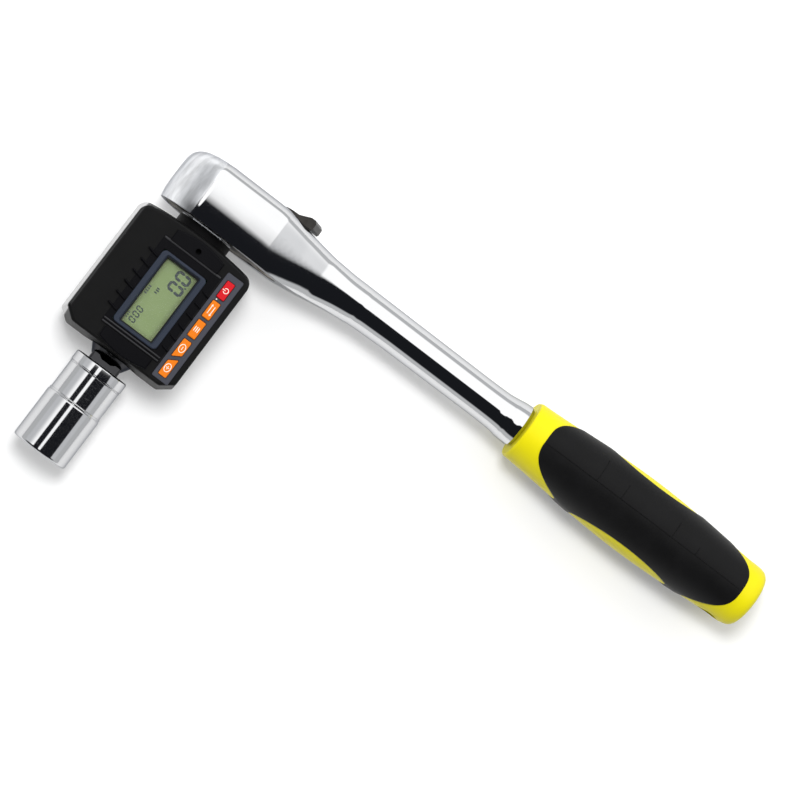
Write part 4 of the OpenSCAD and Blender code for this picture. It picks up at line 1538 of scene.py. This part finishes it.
@dataclass
class HexSocket:
    """The chromed socket: a finely turned outside over a hexagon, a relief and a square."""

    length: float
    radius: float = 11.3
    hex_af: float = 16.0
    hex_depth: float = 13.0
    square_af: float = 12.9
    square_depth: float = 17.0

    def profile(self) -> list[Point2]:
        """Outer half profile as (radius, height), closed on the axis."""
        r, n = self.radius, self.length
        return [
            (0, 0), (r - 0.9, 0), (r - 0.55, 0.08), (r - 0.25, 0.28), (r - 0.06, 0.6), (r, 1.0),
            (r, 20.6), (r - 0.04, 20.9),
            (r - 0.14, 21.1), (r - 0.3, 21.25), (r - 0.3, 21.45), (r - 0.2, 21.55), (r - 0.14, 21.75),
            (r - 0.2, 21.95), (r - 0.3, 22.05),
            (r - 0.45, 22.1), (r - 0.45, 33.6), (r - 0.3, 33.7), (r - 0.24, 33.85), (r - 0.3, 34.0),
            (r - 0.42, 34.1), (r - 0.42, 34.3),
            (r - 0.24, 34.4), (r - 0.2, 34.6), (r - 0.2, n - 0.8), (r - 0.28, n - 0.45),
            (r - 0.5, n - 0.16), (r - 0.9, n), (0, n),
        ]

    def build(self) -> bpy.types.Object:
        """The socket with its bores."""
        made = new_object("socket_body", turned("socket_body", self.profile(), 128), Look.SOCKET, 30)
        corner = self.hex_af / math.sqrt(3)
        turns = [math.radians(60 * k + 30) for k in range(6)]
        hexagon = [(corner * math.cos(a), corner * math.sin(a)) for a in turns]
        half = self.square_af / 2
        tools = [
            self._bar(hexagon, -1, self.hex_depth),
            self._cone(corner + 0.5, corner - 1.4, -0.01, 1.3),
            self._bar(
                circle(0, 0, 7.75, 72), self.hex_depth - 0.5, self.length - self.square_depth + 0.01
            ),
            self._bar(
                box_outline(-half, -half, half, half), self.length - self.square_depth, self.length + 1
            ),
            self._mouth(half),
        ]
        carve(made, tools)
        made.data.shade_smooth()
        made.data.set_sharp_from_angle(angle=math.radians(30))
        return settle(made, "socket", "socket_chrome", "hex_socket")

    def _bar(self, outline: Sequence[Point2], y0: float, y1: float) -> bpy.types.Mesh:
        """A prism along the drive axis."""
        return loft("bar", [[(x, y, z) for x, z in outline] for y in (y0, y1)])

    def _mouth(self, half: float) -> bpy.types.Mesh:
        """The square's lead-in."""
        levels = ((half - 0.1, self.length - 0.6), (half + 0.52, self.length + 0.02))
        return loft("mouth", [[(x, y, z) for x, z in box_outline(-h, -h, h, h)] for h, y in levels])

    def _cone(self, r0: float, r1: float, y0: float, y1: float) -> bpy.types.Mesh:
        """A cone along the drive axis."""
        return loft(
            "cone", [[(x, y, z) for x, z in circle(0, 0, r, 72)] for r, y in ((r0, y0), (r1, y1))]
        )


# --------------------------------------------------------------------------- the studio


@dataclass
class Studio:
    """White ground, the room that the chrome reflects, one soft lamp and the camera."""

    floor_z: float = -20.07
    target: Point3 = (94.76, 94.76, 0.0)
    distance: float = 1000.0
    tilt_x: float = -5.93
    tilt_y: float = -3.42
    roll: float = 37.23
    lens: float = 121.5
    ground_half: float = 3500.0
    white: Point3 = (1.45, 1.45, 1.45)
    side_grey: Point3 = (0.72, 0.73, 0.75)
    low_grey: Point3 = (0.62, 0.63, 0.64)
    flank: Point3 = (0.012, 0.013, 0.016)

    def floor(self) -> bpy.types.Object:
        """The ground the tool lies on."""
        half = self.ground_half
        points = [(x, y, self.floor_z) for x, y in box_outline(-half, -half, half, half)]
        mesh = bpy.data.meshes.new("ground")
        mesh.from_pydata([tuple(c * MM for c in p) for p in points], [], [(0, 1, 2, 3)])
        made = bpy.data.objects.new("ground", mesh)
        bpy.context.scene.collection.objects.link(made)
        mesh.materials.append(PlainFloor("ground_white").material())
        return made

    def camera(self) -> bpy.types.Object:
        """A long lens above the tool, rolled so that the handle runs down to the right."""
        d = Vector((math.sin(math.radians(self.tilt_x)), math.sin(math.radians(self.tilt_y)), 0))
        d.z = math.sqrt(1 - d.x**2 - d.y**2)
        across = (Vector((1, 0, 0)) - d * d.x).normalized()
        up = d.cross(across)
        c, s = math.cos(math.radians(self.roll)), math.sin(math.radians(self.roll))
        right, top = across * c + up * s, up * c - across * s
        data = bpy.data.cameras.new("camera")
        data.lens, data.sensor_width = self.lens, 36.0
        data.clip_start, data.clip_end = 0.05, 10
        made = bpy.data.objects.new("camera", data)
        place = Matrix((right, top, d)).transposed().to_4x4()
        place.translation = (Vector(self.target) + d * self.distance) * MM
        made.matrix_world = place
        bpy.context.scene.collection.objects.link(made)
        bpy.context.scene.camera = made
        return made

    def lamp(self, name: str, place: Point3, aim: Point3, size: Point2, watts: float) -> None:
        """A rectangular soft box.

        Args:
            name: The lamp's name.
            place: Where it hangs, in millimetres.
            aim: What it points at.
            size: Its width and height in millimetres.
            watts: Its power.
        """
        data = bpy.data.lights.new(name, "AREA")
        data.shape, data.size, data.size_y = "RECTANGLE", size[0] * MM, size[1] * MM
        data.energy = watts
        made = bpy.data.objects.new(name, data)
        made.location = Vector(place) * MM
        made.visible_glossy = False
        made.rotation_euler = (Vector(aim) - Vector(place)).to_track_quat("-Z", "Y").to_euler()
        bpy.context.scene.collection.objects.link(made)

    def world(self) -> None:
        """A white room with a dark flank, which draws the black bands in the chrome."""
        made = bpy.data.worlds.new("studio")
        made.use_nodes = True
        bpy.context.scene.world = made
        graph = Graph(made.node_tree)
        direction = graph.node("ShaderNodeTexCoord", out="Generated")
        parts = graph.node("ShaderNodeSeparateXYZ", None, direction).socket.node
        x, y, z = (Sock(graph, parts.outputs[k]) for k in range(3))
        left = x.step(-0.52, -0.44) * (1.0 - x.step(-0.2, -0.12))
        stripe = left + x.step(-0.02, 0.09) * (1.0 - x.step(0.72, 0.82))
        bright = (y - stripe * 0.15).step(-0.12, -0.06)
        high = z.step(0.3, 0.44)
        side = abs(x).step(0.55, 0.8)
        white = graph.mix(side, self.white, self.side_grey)
        above = graph.mix(bright, self.flank, white)
        room = graph.mix(high, self.low_grey, above)
        glow = graph.node("ShaderNodeBackground", None, Color=room, Strength=1.0)
        graph.node("ShaderNodeOutputWorld", None, glow)

    def build(self) -> None:
        """Everything that isn't the tool."""
        scene = bpy.context.scene
        scene.view_settings.view_transform = "Standard"
        scene.view_settings.look = "None"
        scene.view_settings.exposure = 0.0
        self.floor()
        self.camera()
        self.world()
        self.lamp("key", (-80, 240, 950), (90, 90, 0), (220, 220), 7.5)


def dress_cad() -> None:
    """Gives every CAD node that stays its finish."""
    for look, nodes in CAD_LOOKS.items():
        for node in nodes:
            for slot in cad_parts[node].material_slots:
                slot.material = look.material
            LOG.info("%s dressed as %s", node, look.name)


def main() -> None:
    """Builds the tool and its studio in order."""
    logging.basicConfig(level=logging.INFO, format="%(name)s: %(message)s")
    plate_y = span("cover_plate", 1)[0] - FACE_STEP
    grip_x0 = span("grip_core", 0)[0]
    Studio().build()
    dress_cad()
    RatchetForging(plate_y).build()
    Grip(grip_x0, plate_y + AXIS_RISE).build()
    Casing(plate_y).build()
    Display(plate_y).build()
    Keypad(plate_y).build()
    HexSocket(span("hex_socket", 1)[1]).build()


if __name__ == "__main__":
    main()
